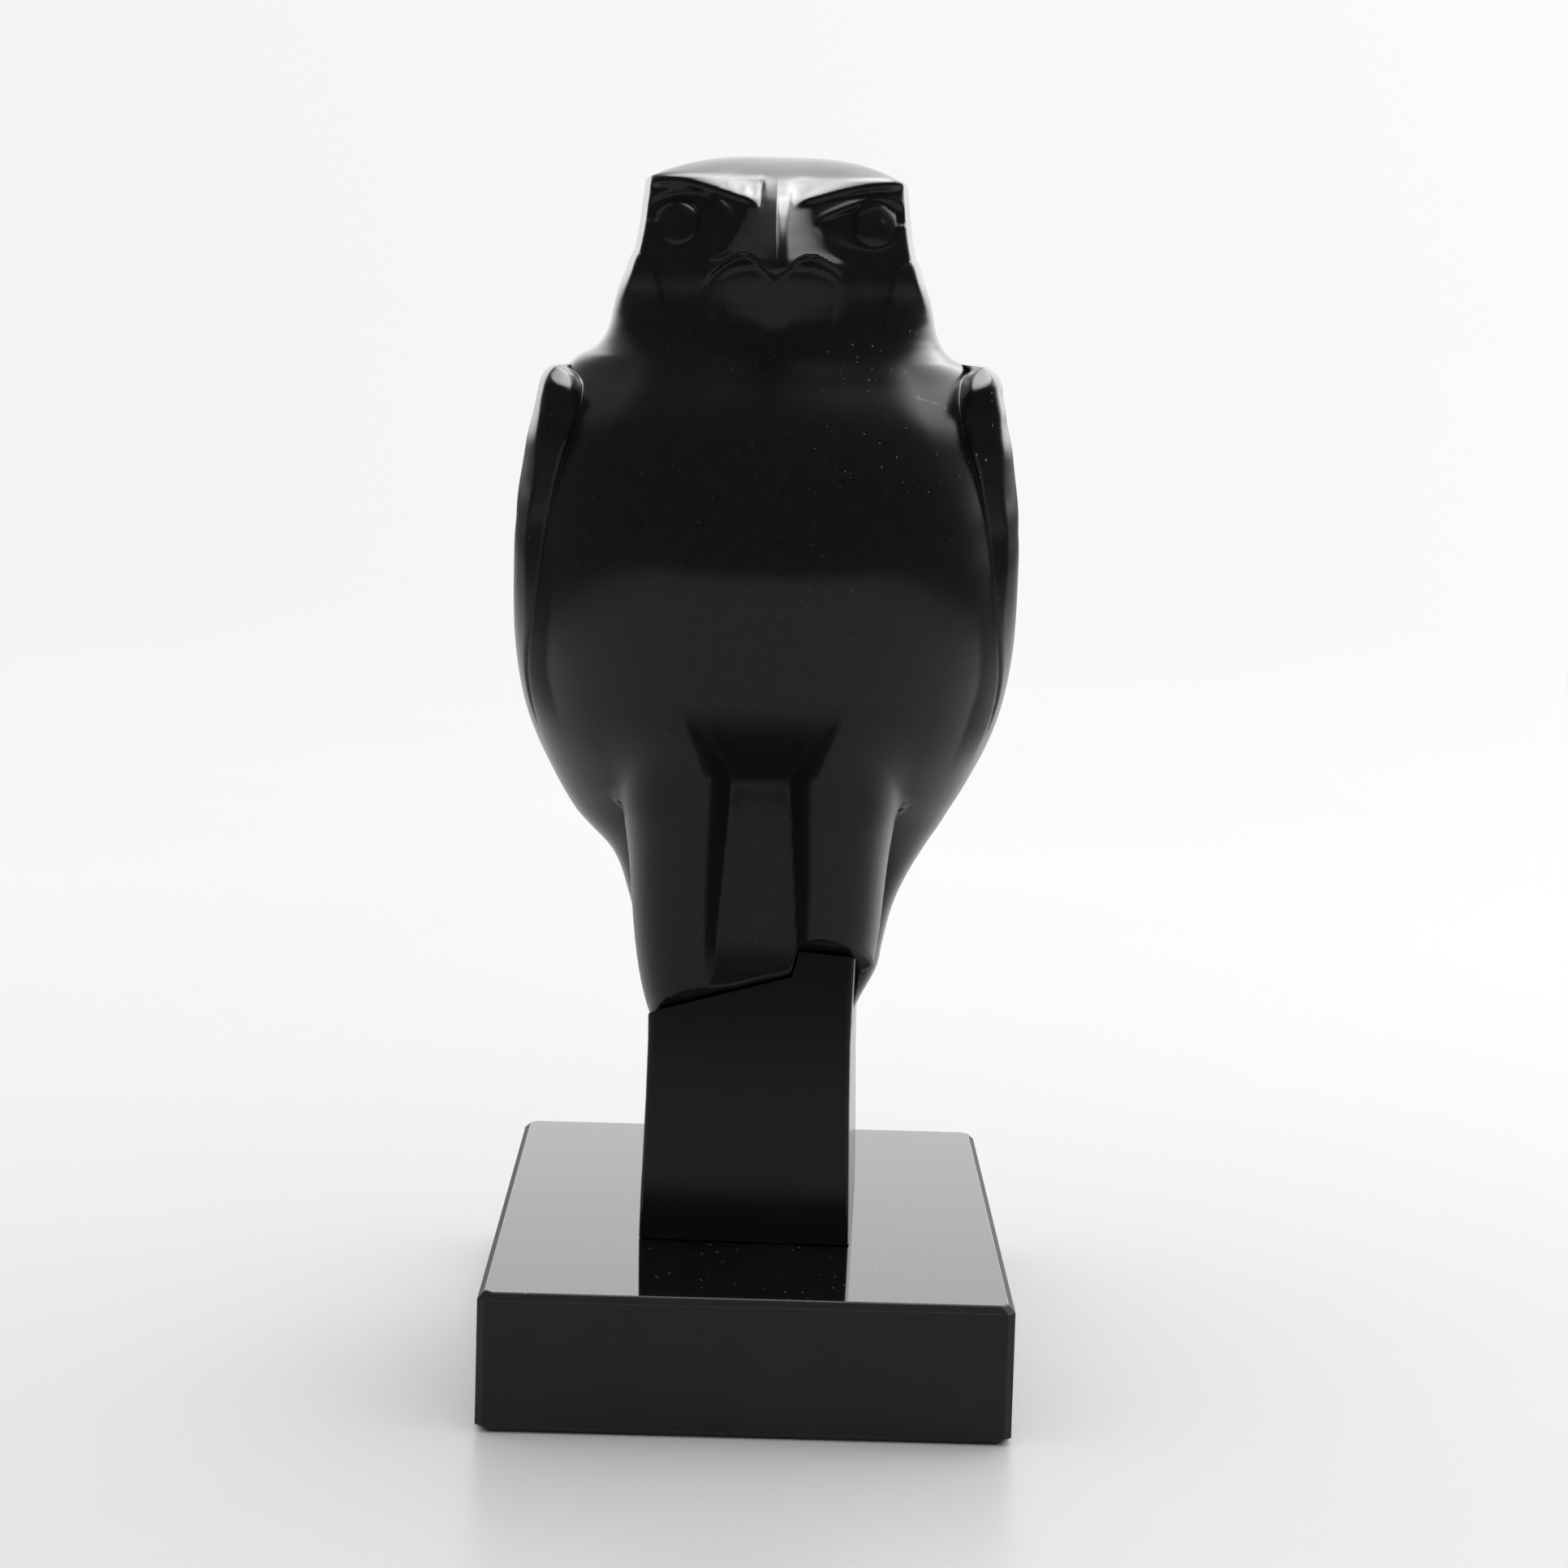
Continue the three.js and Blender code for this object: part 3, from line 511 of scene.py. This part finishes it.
def faceRelief(x, height, side):
    # how far the face stands forward of the plain head
    wedge = along(height, head["wedge"]) * np.clip(1 - x / head["wedgeHalf"], 0, 1) ** head["wedgeSharp"]
    ridge = head["ridgeStrip"] * ramp(0, head["ridgeStrip"] * head["ridgeSoft"], x) * (side > 0)
    place = np.maximum(x - ridge, 0) / along(height, head["beakHalf"])
    sharp = head["beakSharp"] if side > 0 else 1
    beak = along(height, head["beak"]) * np.clip(1 - place, 0, 1) ** sharp
    overBrow = acrossLine(x, height, head["browRight"] if side > 0 else head["browLeft"])
    over = np.where(overBrow > 0, 1 - ramp(0, head["browAbove"], overBrow),
                    ramp(-head["browBelow"], 0, overBrow))
    brow = head["browDepth"] * over * ramp(*head["browInner"], x) * ramp(*head["browOuter"], x)
    across = x / head["mouthRight"] if side > 0 else x
    face = wedge + beak + brow * ramp(*head["faceFrom"], height)
    chin = along(height, head["chin"]) * np.clip(1 - (across / head["chinHalf"]) ** 2, 0, 1)
    underLip = ramp(head["lipSoft"], -head["lipSoft"], acrossLine(across, height, head["lip"]))
    underLip = underLip * ramp(*head["lipFrom"], height)
    chin = chin - along(across, head["lipDepth"]) * underLip
    underMouth = ramp(head["mouthSoft"], -head["mouthSoft"], acrossLine(across, height, head["mouth"]))
    face = face - np.maximum(face - chin, 0) * underMouth * ramp(*head["mouthEnd"], across)
    eye = eyeRelief(x, height, side)
    if side < 0:
        crease = hump(x - head["foreheadCrease"], head["creaseWide"])
        crease = crease * ramp(*head["creaseLow"], height) * ramp(*head["creaseHigh"], height)
        face = face - head["creaseDepth"] * crease
        for dentX, dentHeight, size in head["foreheadDents"]:
            face = face - head["dentDepth"] * hump(np.hypot(x - dentX, height - dentHeight), size)
    return face + eye * ramp(*head["faceFrom"], height)


def bedHeight(x, y):
    # height of the break over a place: two tilted faces under the legs, a step between them, and a flat end
    rise = np.clip((x - bed["sideStep"][0]) / (bed["sideStep"][1] - bed["sideStep"][0]), 0, 1)
    tail = np.clip((y - bed["tailStep"][0]) / (bed["tailStep"][1] - bed["tailStep"][0]), 0, 1)
    left = bed["leftHeight"] + bed["leftTilt"] * x
    right = bed["rightHeight"] + bed["rightTilt"] * x
    underLegs = left * (1 - rise) + right * rise - bed["backSlope"] * (y - bed["slopeFrom"])
    return np.maximum(underLegs, 0) * (1 - tail)


def brokenEdge(x, y):
    # chips along the front edge of the break, deepest in an arch under the right leg
    inFront = ramp(*bed["chipFront"], y)
    right = bed["chipRight"] * ramp(*bed["chipRightFrom"], x) * ramp(*bed["chipRightTo"], x)
    left = bed["chipLeft"] * ramp(*bed["chipLeftFrom"], x)
    crumbs = bed["crumb"] * ripple(x, y, 0 * x, bed["crumbSize"], 4) + bed["crumb"]
    return inFront * (right + left) + crumbs


def columnAngles(height, side):
    # angles of one half's columns: a share ahead of the wing's edge, a dense share across it, and the rest
    halfWidth = along(height, body["halfWidth"]) + along(height, body["shoulder"])
    depth = along(height, body["middle"]) - along(height, body["front"])
    edge = wingEdge(height, side, halfWidth, depth, along(height, body["frontPower"]))[3]
    onHead = ramp(*grid["headFrom"], height)[:, None]
    away = np.clip(onHead + ramp(*grid["legFrom"], height)[:, None], 0, 1)
    start = edge[:, None] * (1 - away) + away
    stop = (edge + along(height, grid["edgeSpan"]))[:, None] * (1 - away) + grid["plainStop"] * away
    part = np.linspace(0, 1, grid["half"] + 1)[None, :]
    first, second = grid["frontShare"], grid["frontShare"] + grid["edgeShare"]
    ahead = np.clip(part / first, 0, 1)
    across = np.clip((part - first) / (second - first), 0, 1)
    behind = np.clip((part - second) / (1 - second), 0, 1)
    packed = ahead * (1 - onHead) + ahead ** grid["headPack"] * onHead
    rear = behind * grid["rearEven"] + behind**2 * grid["rearPack"]
    return start * packed + (stop - start) * across ** grid["edgePack"] + (math.pi - stop) * rear


def levelRows(side):
    # rows of one half from the level above the break to the crown's rim
    ends = [start for start, _ in grid["rows"][1:]] + [head["rim"]]
    spans = zip(grid["rows"], ends)
    heights = [np.linspace(start, end, count, endpoint=False) for (start, count), end in spans]
    heights = np.concatenate([*heights, [head["rim"]]])
    angles = columnAngles(heights, side)
    height = np.repeat(heights[:, None], angles.shape[1], 1)
    x, y, hollow = trunk(angles, height, side)
    facing = np.cos(angles)
    y = y - np.where(facing > 0, faceRelief(x, height, side), 0) * ramp(*head["faceTurn"], facing)
    return np.stack([side * x, y, height, hollow], -1)


def legRowsAndBreak(side):
    # rows that run down to the broken edge, and rows that close the break in to its middle
    angles = columnAngles(np.array([grid["level"]]), side)[0]
    low = np.where(angles < bed["firstTurn"], bed["firstFront"], bed["firstRear"])
    for _ in range(3):
        x, y, _ = trunk(angles, low, side)
        low = bedHeight(side * x, y) + brokenEdge(side * x, y)
    part = np.linspace(0, 1, grid["legRows"], endpoint=False)[:, None]
    height = low + (grid["level"] - low) * part
    x, y, hollow = trunk(np.repeat(angles[None], grid["legRows"], 0), height, side)
    walls = np.stack([side * x, y, height, hollow], -1)
    scale = np.linspace(0, 1, grid["underRows"], endpoint=False)[1:, None] ** bed["underPack"]
    underX = scale * walls[0, :, 0]
    underY = bed["underMiddle"] + scale * (walls[0, :, 1] - bed["underMiddle"])
    rough = bed["rough"] + bed["rough"] * ripple(underX, underY, 0 * underX, bed["roughSize"], 9)
    under = np.stack([underX, underY, bedHeight(underX, underY) + rough, bed["underDull"] + 0 * underX], -1)
    return under, walls


def crown(rim):
    # the rim drawn in step by step, rising by one minus a power of its scale
    part = np.arange(1, grid["crownRows"] + 1)[:, None] / (grid["crownRows"] + 1)
    scale = 1 - np.sin(part * math.pi / 2)
    middle = along(np.array(head["rim"]), body["middle"])
    height = head["rim"] + head["crownRise"] * (1 - scale ** head["crownPower"])
    x = scale * rim[:, 0] + head["crownShift"] * (1 - scale)
    y = middle + scale * (rim[:, 1] - middle)
    return np.stack([x, y, np.repeat(height, rim.shape[0], 1), 0 * x], -1)


def wholeRings(right, left):
    # one closed ring of columns from two halves that meet at the front and the back
    return np.concatenate([right, left[:, -2:0:-1]], 1)


def figureRings():
    # every ring of the figure in metres, from the middle of the break to the crown
    rows = []
    for side in (1, -1):
        under, walls = legRowsAndBreak(side)
        rows.append(np.concatenate([under, walls, levelRows(side)]))
    rings = wholeRings(*rows)
    rings = np.concatenate([rings, crown(rings[-1])])
    return rings * [share, share, share, 1] + np.array([0, 0, figureLow.z, 0])


# shader helpers

class Wire:
    # a shader socket that adds Math nodes when it is reckoned with
    def __init__(self, paint, socket):
        self.paint, self.socket = paint, socket

    def math(self, operation, *others):
        values = dict(enumerate([self, *others]))
        return self.paint.node("ShaderNodeMath", dict(operation=operation), values).out()

    def __add__(self, other):
        return self.math("ADD", other)

    def __mul__(self, other):
        return self.math("MULTIPLY", other)

    def __sub__(self, other):
        return self.math("SUBTRACT", other)

    def __rsub__(self, other):
        return self.math("MULTIPLY", -1).math("ADD", other)

    def __truediv__(self, other):
        return self.math("DIVIDE", other)

    __radd__ = __add__
    __rmul__ = __mul__

    def ramp(self, low, high):
        # 0 at low and 1 at high
        settings = dict(interpolation_type="SMOOTHSTEP")
        values = {0: self, 1: low, 2: high}
        return self.paint.node("ShaderNodeMapRange", settings, values).out()


class Node:
    def __init__(self, paint, node):
        self.paint, self.node = paint, node

    def out(self, name=0):
        return Wire(self.paint, self.node.outputs[name])


class Paint:
    # a node tree with one method that adds any node
    def __init__(self, tree):
        self.tree = tree
        tree.nodes.clear()

    def feed(self, socket, value):
        if isinstance(value, Wire):
            self.tree.links.new(value.socket, socket)
        else:
            socket.default_value = value

    def node(self, kind, settings=None, values=None):
        made = self.tree.nodes.new(kind)
        for name, value in (settings or {}).items():
            setattr(made, name, value)
        for name, value in (values or {}).items():
            self.feed(made.inputs[name], value)
        return Node(self, made)

    def noise(self, place, scale, detail=3.0, roughness=0.5):
        values = {"Vector": place, "Scale": scale, "Detail": detail, "Roughness": roughness}
        return self.node("ShaderNodeTexNoise", {}, values).out("Fac")

    def mixColor(self, factor, first, second):
        values = {"Factor": factor, "A": first, "B": second}
        made = self.node("ShaderNodeMix", dict(data_type="RGBA"))
        for name, value in values.items():
            wanted = "VALUE" if name == "Factor" else "RGBA"
            socket = next(s for s in made.node.inputs if s.name == name and s.type == wanted)
            self.feed(socket, value)
        return Wire(self, next(s for s in made.node.outputs if s.type == "RGBA"))


def newMaterial(name):
    material = bpy.data.materials.new(name)
    material.use_nodes = True
    paint = Paint(material.node_tree)
    place = paint.node("ShaderNodeTexCoord").out("Object")
    return material, paint, place


def finishMaterial(paint, values, dullAndShade=None, factor=None):
    # the material's shader and, where dull values are given, a duller one mixed in by a factor: a ground
    # edge on the plinth, and on the resin a darker copy painted as shade
    shader = paint.node("ShaderNodeBsdfPrincipled", {}, values).out()
    if dullAndShade:
        matt = paint.node("ShaderNodeBsdfPrincipled", {}, {**values, **dullAndShade}).out()
        shader = paint.node("ShaderNodeMixShader", {}, {0: factor, 1: shader, 2: matt}).out()
    paint.node("ShaderNodeOutputMaterial", {}, {"Surface": shader})


# the pale marks' tone: painted glints on the resin's specks, the scratch's own colour, and dust on the
# plinth
resinLook = dict(
    dark=(0.0062, 0.0055, 0.0046, 1), light=(0.0088, 0.0078, 0.0066, 1), tones=(0.2, 0.8),
    mottle=420.0, mottlePolish=0.03, mottleHeight=0.000005, clouds=24.0, cloudPolish=0.05,
    grain=2600.0, grainHeight=0.000006, roughness=0.23, specular=0.25,
    dustAndGlint=(0.2, 0.19, 0.18, 1), speck=1500.0, speckEdge=(0.75, 0.775), speckLeast=0.1, speckMore=0.9,
    glintLow=(0.158, 0.17), glintHigh=(0.196, 0.188), glintSide=(0.004, 0.02), inFront=(0.0, -0.01),
    scratchPlace=(0.0276, 0.1788), scratchSlope=0.28, scratchLong=(0.0023, 0.0018),
    scratchWide=(0.00013, 0.00005), scratchGrain=1800.0, scratchBreaks=(0.35, 0.55),
    dullAndShadeTone=(0.006, 0.0056, 0.0052, 1), dullAndShadeRoughness=0.5, dullAndShadeSpecular=0.06)


def shoulderScratch(paint, place, x, y, z):
    # one broken, pale line across the right shoulder
    look = resinLook
    beside = x - look["scratchPlace"][0]
    off = (z - look["scratchPlace"][1] + beside * look["scratchSlope"]).math("ABSOLUTE")
    line = beside.math("ABSOLUTE").ramp(*look["scratchLong"]) * off.ramp(*look["scratchWide"])
    breaks = paint.noise(place, look["scratchGrain"], 1.0, 0.4).ramp(*look["scratchBreaks"])
    return line * y.ramp(*look["inFront"]) * breaks


def resinMaterial():
    # satin black-brown resin: mottled tone, uneven polish, fine grain, a scratch, pale specks painted as
    # glints, thin all over and dense on the lit right shoulder, and a darker, duller copy painted as shade
    material, paint, place = newMaterial("satinResin")
    look = resinLook
    mottle = paint.noise(place, look["mottle"], 5.0, 0.6)
    clouds = paint.noise(place, look["clouds"], 3.0, 0.5)
    grain = paint.noise(place, look["grain"], 2.0, 0.6)
    color = paint.mixColor(mottle.ramp(*look["tones"]), look["dark"], look["light"])
    axes = paint.node("ShaderNodeSeparateXYZ", {}, {"Vector": place})
    x, y, z = axes.out("X"), axes.out("Y"), axes.out("Z")
    # painted glints: pale specks gather in a band across the lit right shoulder, where its highlight falls
    glintBand = z.ramp(*look["glintLow"]) * x.ramp(*look["glintSide"]) * y.ramp(*look["inFront"])
    glintBand = glintBand * z.ramp(*look["glintHigh"])
    specks = paint.noise(place, look["speck"], 1.0, 0.4).ramp(*look["speckEdge"])
    specks = specks * (glintBand * look["speckMore"] + look["speckLeast"])
    marks = specks.math("MAXIMUM", shoulderScratch(paint, place, x, y, z))
    color = paint.mixColor(marks, color, look["dustAndGlint"])
    roughness = look["roughness"] + (clouds - 0.5) * look["cloudPolish"]
    roughness = roughness + (mottle - 0.5) * look["mottlePolish"]
    height = grain * look["grainHeight"] + mottle * look["mottleHeight"]
    bump = paint.node("ShaderNodeBump", {}, {"Strength": 0.5, "Distance": 1.0, "Height": height})
    # painted shade: the mesh's fourth number mixes in a darker, duller copy of the resin, in the recess
    # between the legs and beside the wings
    dullAndShade = paint.node("ShaderNodeAttribute", dict(attribute_name="dullAndShade")).out("Fac")
    finishMaterial(paint, {"Base Color": color, "Roughness": roughness, "Normal": bump.out(),
                           "Specular IOR Level": look["specular"]},
                   {"Base Color": look["dullAndShadeTone"], "Roughness": look["dullAndShadeRoughness"],
                    "Specular IOR Level": look["dullAndShadeSpecular"]}, dullAndShade)
    return material


postLook = dict(
    dark=(0.0045, 0.0043, 0.0041, 1), light=(0.0065, 0.0062, 0.0059, 1), smear=45.0, smearHeight=0.00005,
    roughness=0.12, smearPolish=0.1, specular=0.25)


def postMaterial():
    # smooth black lacquer with faint wipe marks
    material, paint, place = newMaterial("postLacquer")
    smear = paint.noise(place, postLook["smear"], 4.0, 0.55)
    color = paint.mixColor(smear, postLook["dark"], postLook["light"])
    height = smear * postLook["smearHeight"]
    bump = paint.node("ShaderNodeBump", {}, {"Strength": 0.35, "Distance": 1.0, "Height": height})
    roughness = postLook["roughness"] + smear * postLook["smearPolish"]
    finishMaterial(paint, {"Base Color": color, "Roughness": roughness, "Normal": bump.out(),
                           "Specular IOR Level": postLook["specular"]})
    return material


plinthLook = dict(
    dark=(0.0048, 0.0046, 0.0044, 1), light=(0.007, 0.0067, 0.0064, 1), dustAndGlint=(0.35, 0.34, 0.32, 1),
    edge=0.0014, edgeSoft=0.0002, topBelow=(0.0003, 0.0001), smear=30.0, polish=0.03, specular=0.3,
    specks=800.0, speckEdge=(0.75, 0.77), speckTone=0.4, film=60.0, filmEdge=(0.45, 0.9), filmTone=0.02,
    groundRoughness=0.4, groundSpecular=0.04)


def plinthMaterial():
    # mirror polish with a little dust on top, and a duller, ground edge
    material, paint, place = newMaterial("mirrorPolish")
    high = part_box("plinth")[1][2]
    rise = paint.node("ShaderNodeSeparateXYZ", {}, {"Vector": place}).out("Z")
    look = plinthLook
    edge = high - look["edge"]
    onTop = rise.ramp(high - look["topBelow"][0], high - look["topBelow"][1])
    ground = rise.ramp(edge, edge + look["edgeSoft"]) * (1 - onTop)
    smear = paint.noise(place, look["smear"], 4.0, 0.6)
    specks = paint.noise(place, look["specks"], 1.0, 0.4).ramp(*look["speckEdge"]) * onTop
    film = paint.noise(place, look["film"], 4.0, 0.7).ramp(*look["filmEdge"])
    color = paint.mixColor(smear, look["dark"], look["light"])
    color = paint.mixColor(specks * look["speckTone"] + film * look["filmTone"], color, look["dustAndGlint"])
    roughness = look["polish"] + smear * look["polish"]
    finishMaterial(paint, {"Base Color": color, "Roughness": roughness,
                           "Specular IOR Level": look["specular"]},
                   {"Roughness": look["groundRoughness"], "Specular IOR Level": look["groundSpecular"]},
                   ground)
    return material


resin = resinMaterial()
lacquer = postMaterial()
polish = plinthMaterial()
print("materials made")

figurePlaces, figureFaces = closedRings(figureRings())
makePiece("falcon_figure", figurePlaces, figureFaces, resin, "falcon")
print("figure made:", len(figureFaces), "faces")
for name, material in (("support_post", lacquer), ("plinth", polish)):
    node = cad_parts[name]
    node.data.materials.clear()
    node.data.materials.append(material)


# studio: a pale floor, a soft panel overhead and a little behind, a bright backdrop behind; what the glossy
# pieces mirror is a table of the floor round them, the backdrop, soft lamps, and dark on all other sides

studio = dict(
    floorReach=15.0, floorTone=(0.64, 0.64, 0.645), floorRoughness=0.34, floorShine=0.08,
    hazeSize=2.2, hazeTone=0.96, hazeEdge=(0.3, 0.7), farTone=0.93, farStart=0.5, farEnd=1.9,
    awayLeast=0.8, sideLimit=0.2, paleTop=0.985, paleSlope=0.16, paleRise=0.06,
    tableFront=-0.36, tableEdge=0.04, tableSide=0.52, tableSoft=0.28,
    panelPlace=(0.16, 0.3, 1.02), panelAim=(0, 0.1, 0.1), panelWide=0.42, panelDeep=0.54, panelPower=2.4,
    fill=0.95, sideGlow=0.05, backGlow=1.6, backRise=0.8, backHalf=0.66, backSoft=0.22, backTurn=0.1,
    backFront=(0, 0.2), backLift=(0.25, 0.8), backEnd=(0.86, 0.62),
    dimLeast=0.45, dimMore=0.55, dimEdge=(-0.65, -0.2),
    lamps=(((0.53, 0.6, 0.6), 3.3), ((-0.53, 0.6, 0.6), 0.35), ((0.08, 0.24, 0.97), 11.0)),
    lampEdge=0.84, lampCore=0.95)


def flatPlane(name, reach, material):
    mesh = bpy.data.meshes.new(name)
    mesh.from_pydata([(-reach, -reach, 0), (reach, -reach, 0), (reach, reach, 0), (-reach, reach, 0)], [],
                     [(0, 1, 2, 3)])
    mesh.materials.append(material)
    piece = bpy.data.objects.new(name, mesh)
    scene.collection.objects.link(piece)


def paleTone(sideways, upwards):
    # the tone far behind: a little brighter to the right and upwards
    limit = studio["sideLimit"]
    sideways = sideways.math("MINIMUM", limit).math("MAXIMUM", -limit)
    tone = studio["farTone"] + sideways * studio["paleSlope"] + upwards * studio["paleRise"]
    return tone.math("MINIMUM", studio["paleTop"])


def floorMaterial():
    material, paint, place = newMaterial("paleFloor")
    axes = paint.node("ShaderNodeSeparateXYZ", {}, {"Vector": place})
    x, y = axes.out("X"), axes.out("Y")
    haze = paint.noise(place, studio["hazeSize"], 3.0, 0.5)
    tone = studio["floorTone"]
    near = [value * studio["hazeTone"] for value in tone] + [1]
    color = paint.mixColor(haze.ramp(*studio["hazeEdge"]), tuple(near), (*tone, 1))
    sheet = paint.node("ShaderNodeBsdfPrincipled", {}, {
        "Base Color": color, "Roughness": studio["floorRoughness"],
        "Specular IOR Level": studio["floorShine"]}).out()
    away = paint.node("ShaderNodeVectorMath", dict(operation="LENGTH"), {0: place}).out("Value")
    sideways = x / (y.math("ABSOLUTE") + studio["awayLeast"])
    far = paint.node("ShaderNodeEmission", {}, {"Strength": paleTone(sideways, 0)}).out()
    whole = paint.node("ShaderNodeMixShader", {}, {
        0: away.ramp(studio["farStart"], studio["farEnd"]), 1: sheet, 2: far}).out()
    front, edge = studio["tableFront"], studio["tableEdge"]
    side, soft = studio["tableSide"], studio["tableSoft"]
    onTable = y.ramp(front - edge, front + edge) * x.math("ABSOLUTE").ramp(side + soft, side - soft)
    glossy = paint.node("ShaderNodeLightPath").out("Is Glossy Ray")
    dark = paint.node("ShaderNodeEmission", {}, {"Strength": studio["sideGlow"]}).out()
    shown = paint.node("ShaderNodeMixShader", {}, {0: glossy * (1 - onTable), 1: whole, 2: dark})
    paint.node("ShaderNodeOutputMaterial", {}, {"Surface": shown.out()})
    return material


def makeWorld():
    world = bpy.data.worlds.new("studio")
    scene.world = world
    world.use_nodes = True
    paint = Paint(world.node_tree)
    way = paint.node("ShaderNodeTexCoord").out("Generated")
    axes = paint.node("ShaderNodeSeparateXYZ", {}, {"Vector": way})
    x, y, z = axes.out("X"), axes.out("Y"), axes.out("Z")
    flat = (x * x + y * y).math("SQRT") + 0.001
    aside = x / flat - studio["backTurn"]
    half, soft = studio["backHalf"], studio["backSoft"]
    window = aside.math("ABSOLUTE").ramp(half + soft, half - soft) * y.ramp(*studio["backFront"])
    glow = studio["backGlow"] + z.ramp(*studio["backLift"]) * studio["backRise"]
    dimmer = studio["dimLeast"] + (x / flat).ramp(*studio["dimEdge"]) * studio["dimMore"]
    mirrored = studio["sideGlow"] + window * glow * z.ramp(*studio["backEnd"]) * dimmer
    for direction, strength in studio["lamps"]:
        towards = paint.node("ShaderNodeVectorMath", dict(operation="DOT_PRODUCT"), {0: way, 1: direction})
        mirrored = mirrored + towards.out("Value").ramp(studio["lampEdge"], studio["lampCore"]) * strength
    pale = paleTone(x, z)
    path = paint.node("ShaderNodeLightPath")
    strength = path.out("Is Camera Ray") * pale + path.out("Is Glossy Ray") * mirrored
    strength = strength + path.out("Is Diffuse Ray") * studio["fill"]
    shader = paint.node("ShaderNodeBackground", {}, {"Color": (1, 1, 1, 1), "Strength": strength})
    paint.node("ShaderNodeOutputWorld", {}, {"Surface": shader.out()})


def softPanel():
    light = bpy.data.lights.new("panel", "AREA")
    light.shape = "RECTANGLE"
    light.size, light.size_y = studio["panelWide"], studio["panelDeep"]
    light.energy = studio["panelPower"]
    lamp = bpy.data.objects.new("panel", light)
    scene.collection.objects.link(lamp)
    lamp.location = studio["panelPlace"]
    aim = Vector(studio["panelAim"]) - Vector(studio["panelPlace"])
    lamp.rotation_euler = aim.to_track_quat("-Z", "Y").to_euler()
    lamp.visible_camera = False


flatPlane("floor", studio["floorReach"], floorMaterial())
makeWorld()
softPanel()
print("studio made")


# camera, at the photograph's angle: place in metres, turns in degrees, focal length in pixels of the frame

shot = dict(
    place=(-0.002, -0.7774, 0.1992), pitch=6.879, yaw=0.479, roll=1.649, focal=5137.7, frame=1932)


def makeCamera():
    pitch, yaw, roll = (math.radians(shot[name]) for name in ("pitch", "yaw", "roll"))
    ahead = Vector((math.sin(yaw) * math.cos(pitch), math.cos(yaw) * math.cos(pitch), -math.sin(pitch)))
    level = Vector((math.cos(yaw), -math.sin(yaw), 0))
    upright = level.cross(ahead)
    right = level * math.cos(roll) + upright * math.sin(roll)
    up = upright * math.cos(roll) - level * math.sin(roll)
    camera = bpy.data.cameras.new("camera")
    camera.sensor_width = 36
    camera.lens = camera.sensor_width * shot["focal"] / shot["frame"]
    eye = bpy.data.objects.new("camera", camera)
    scene.collection.objects.link(eye)
    turn = Matrix((right, up, -ahead)).transposed()
    eye.matrix_world = Matrix.Translation(shot["place"]) @ turn.to_4x4()
    scene.camera = eye


makeCamera()
scene.view_settings.view_transform = "Standard"

print("scene ready")
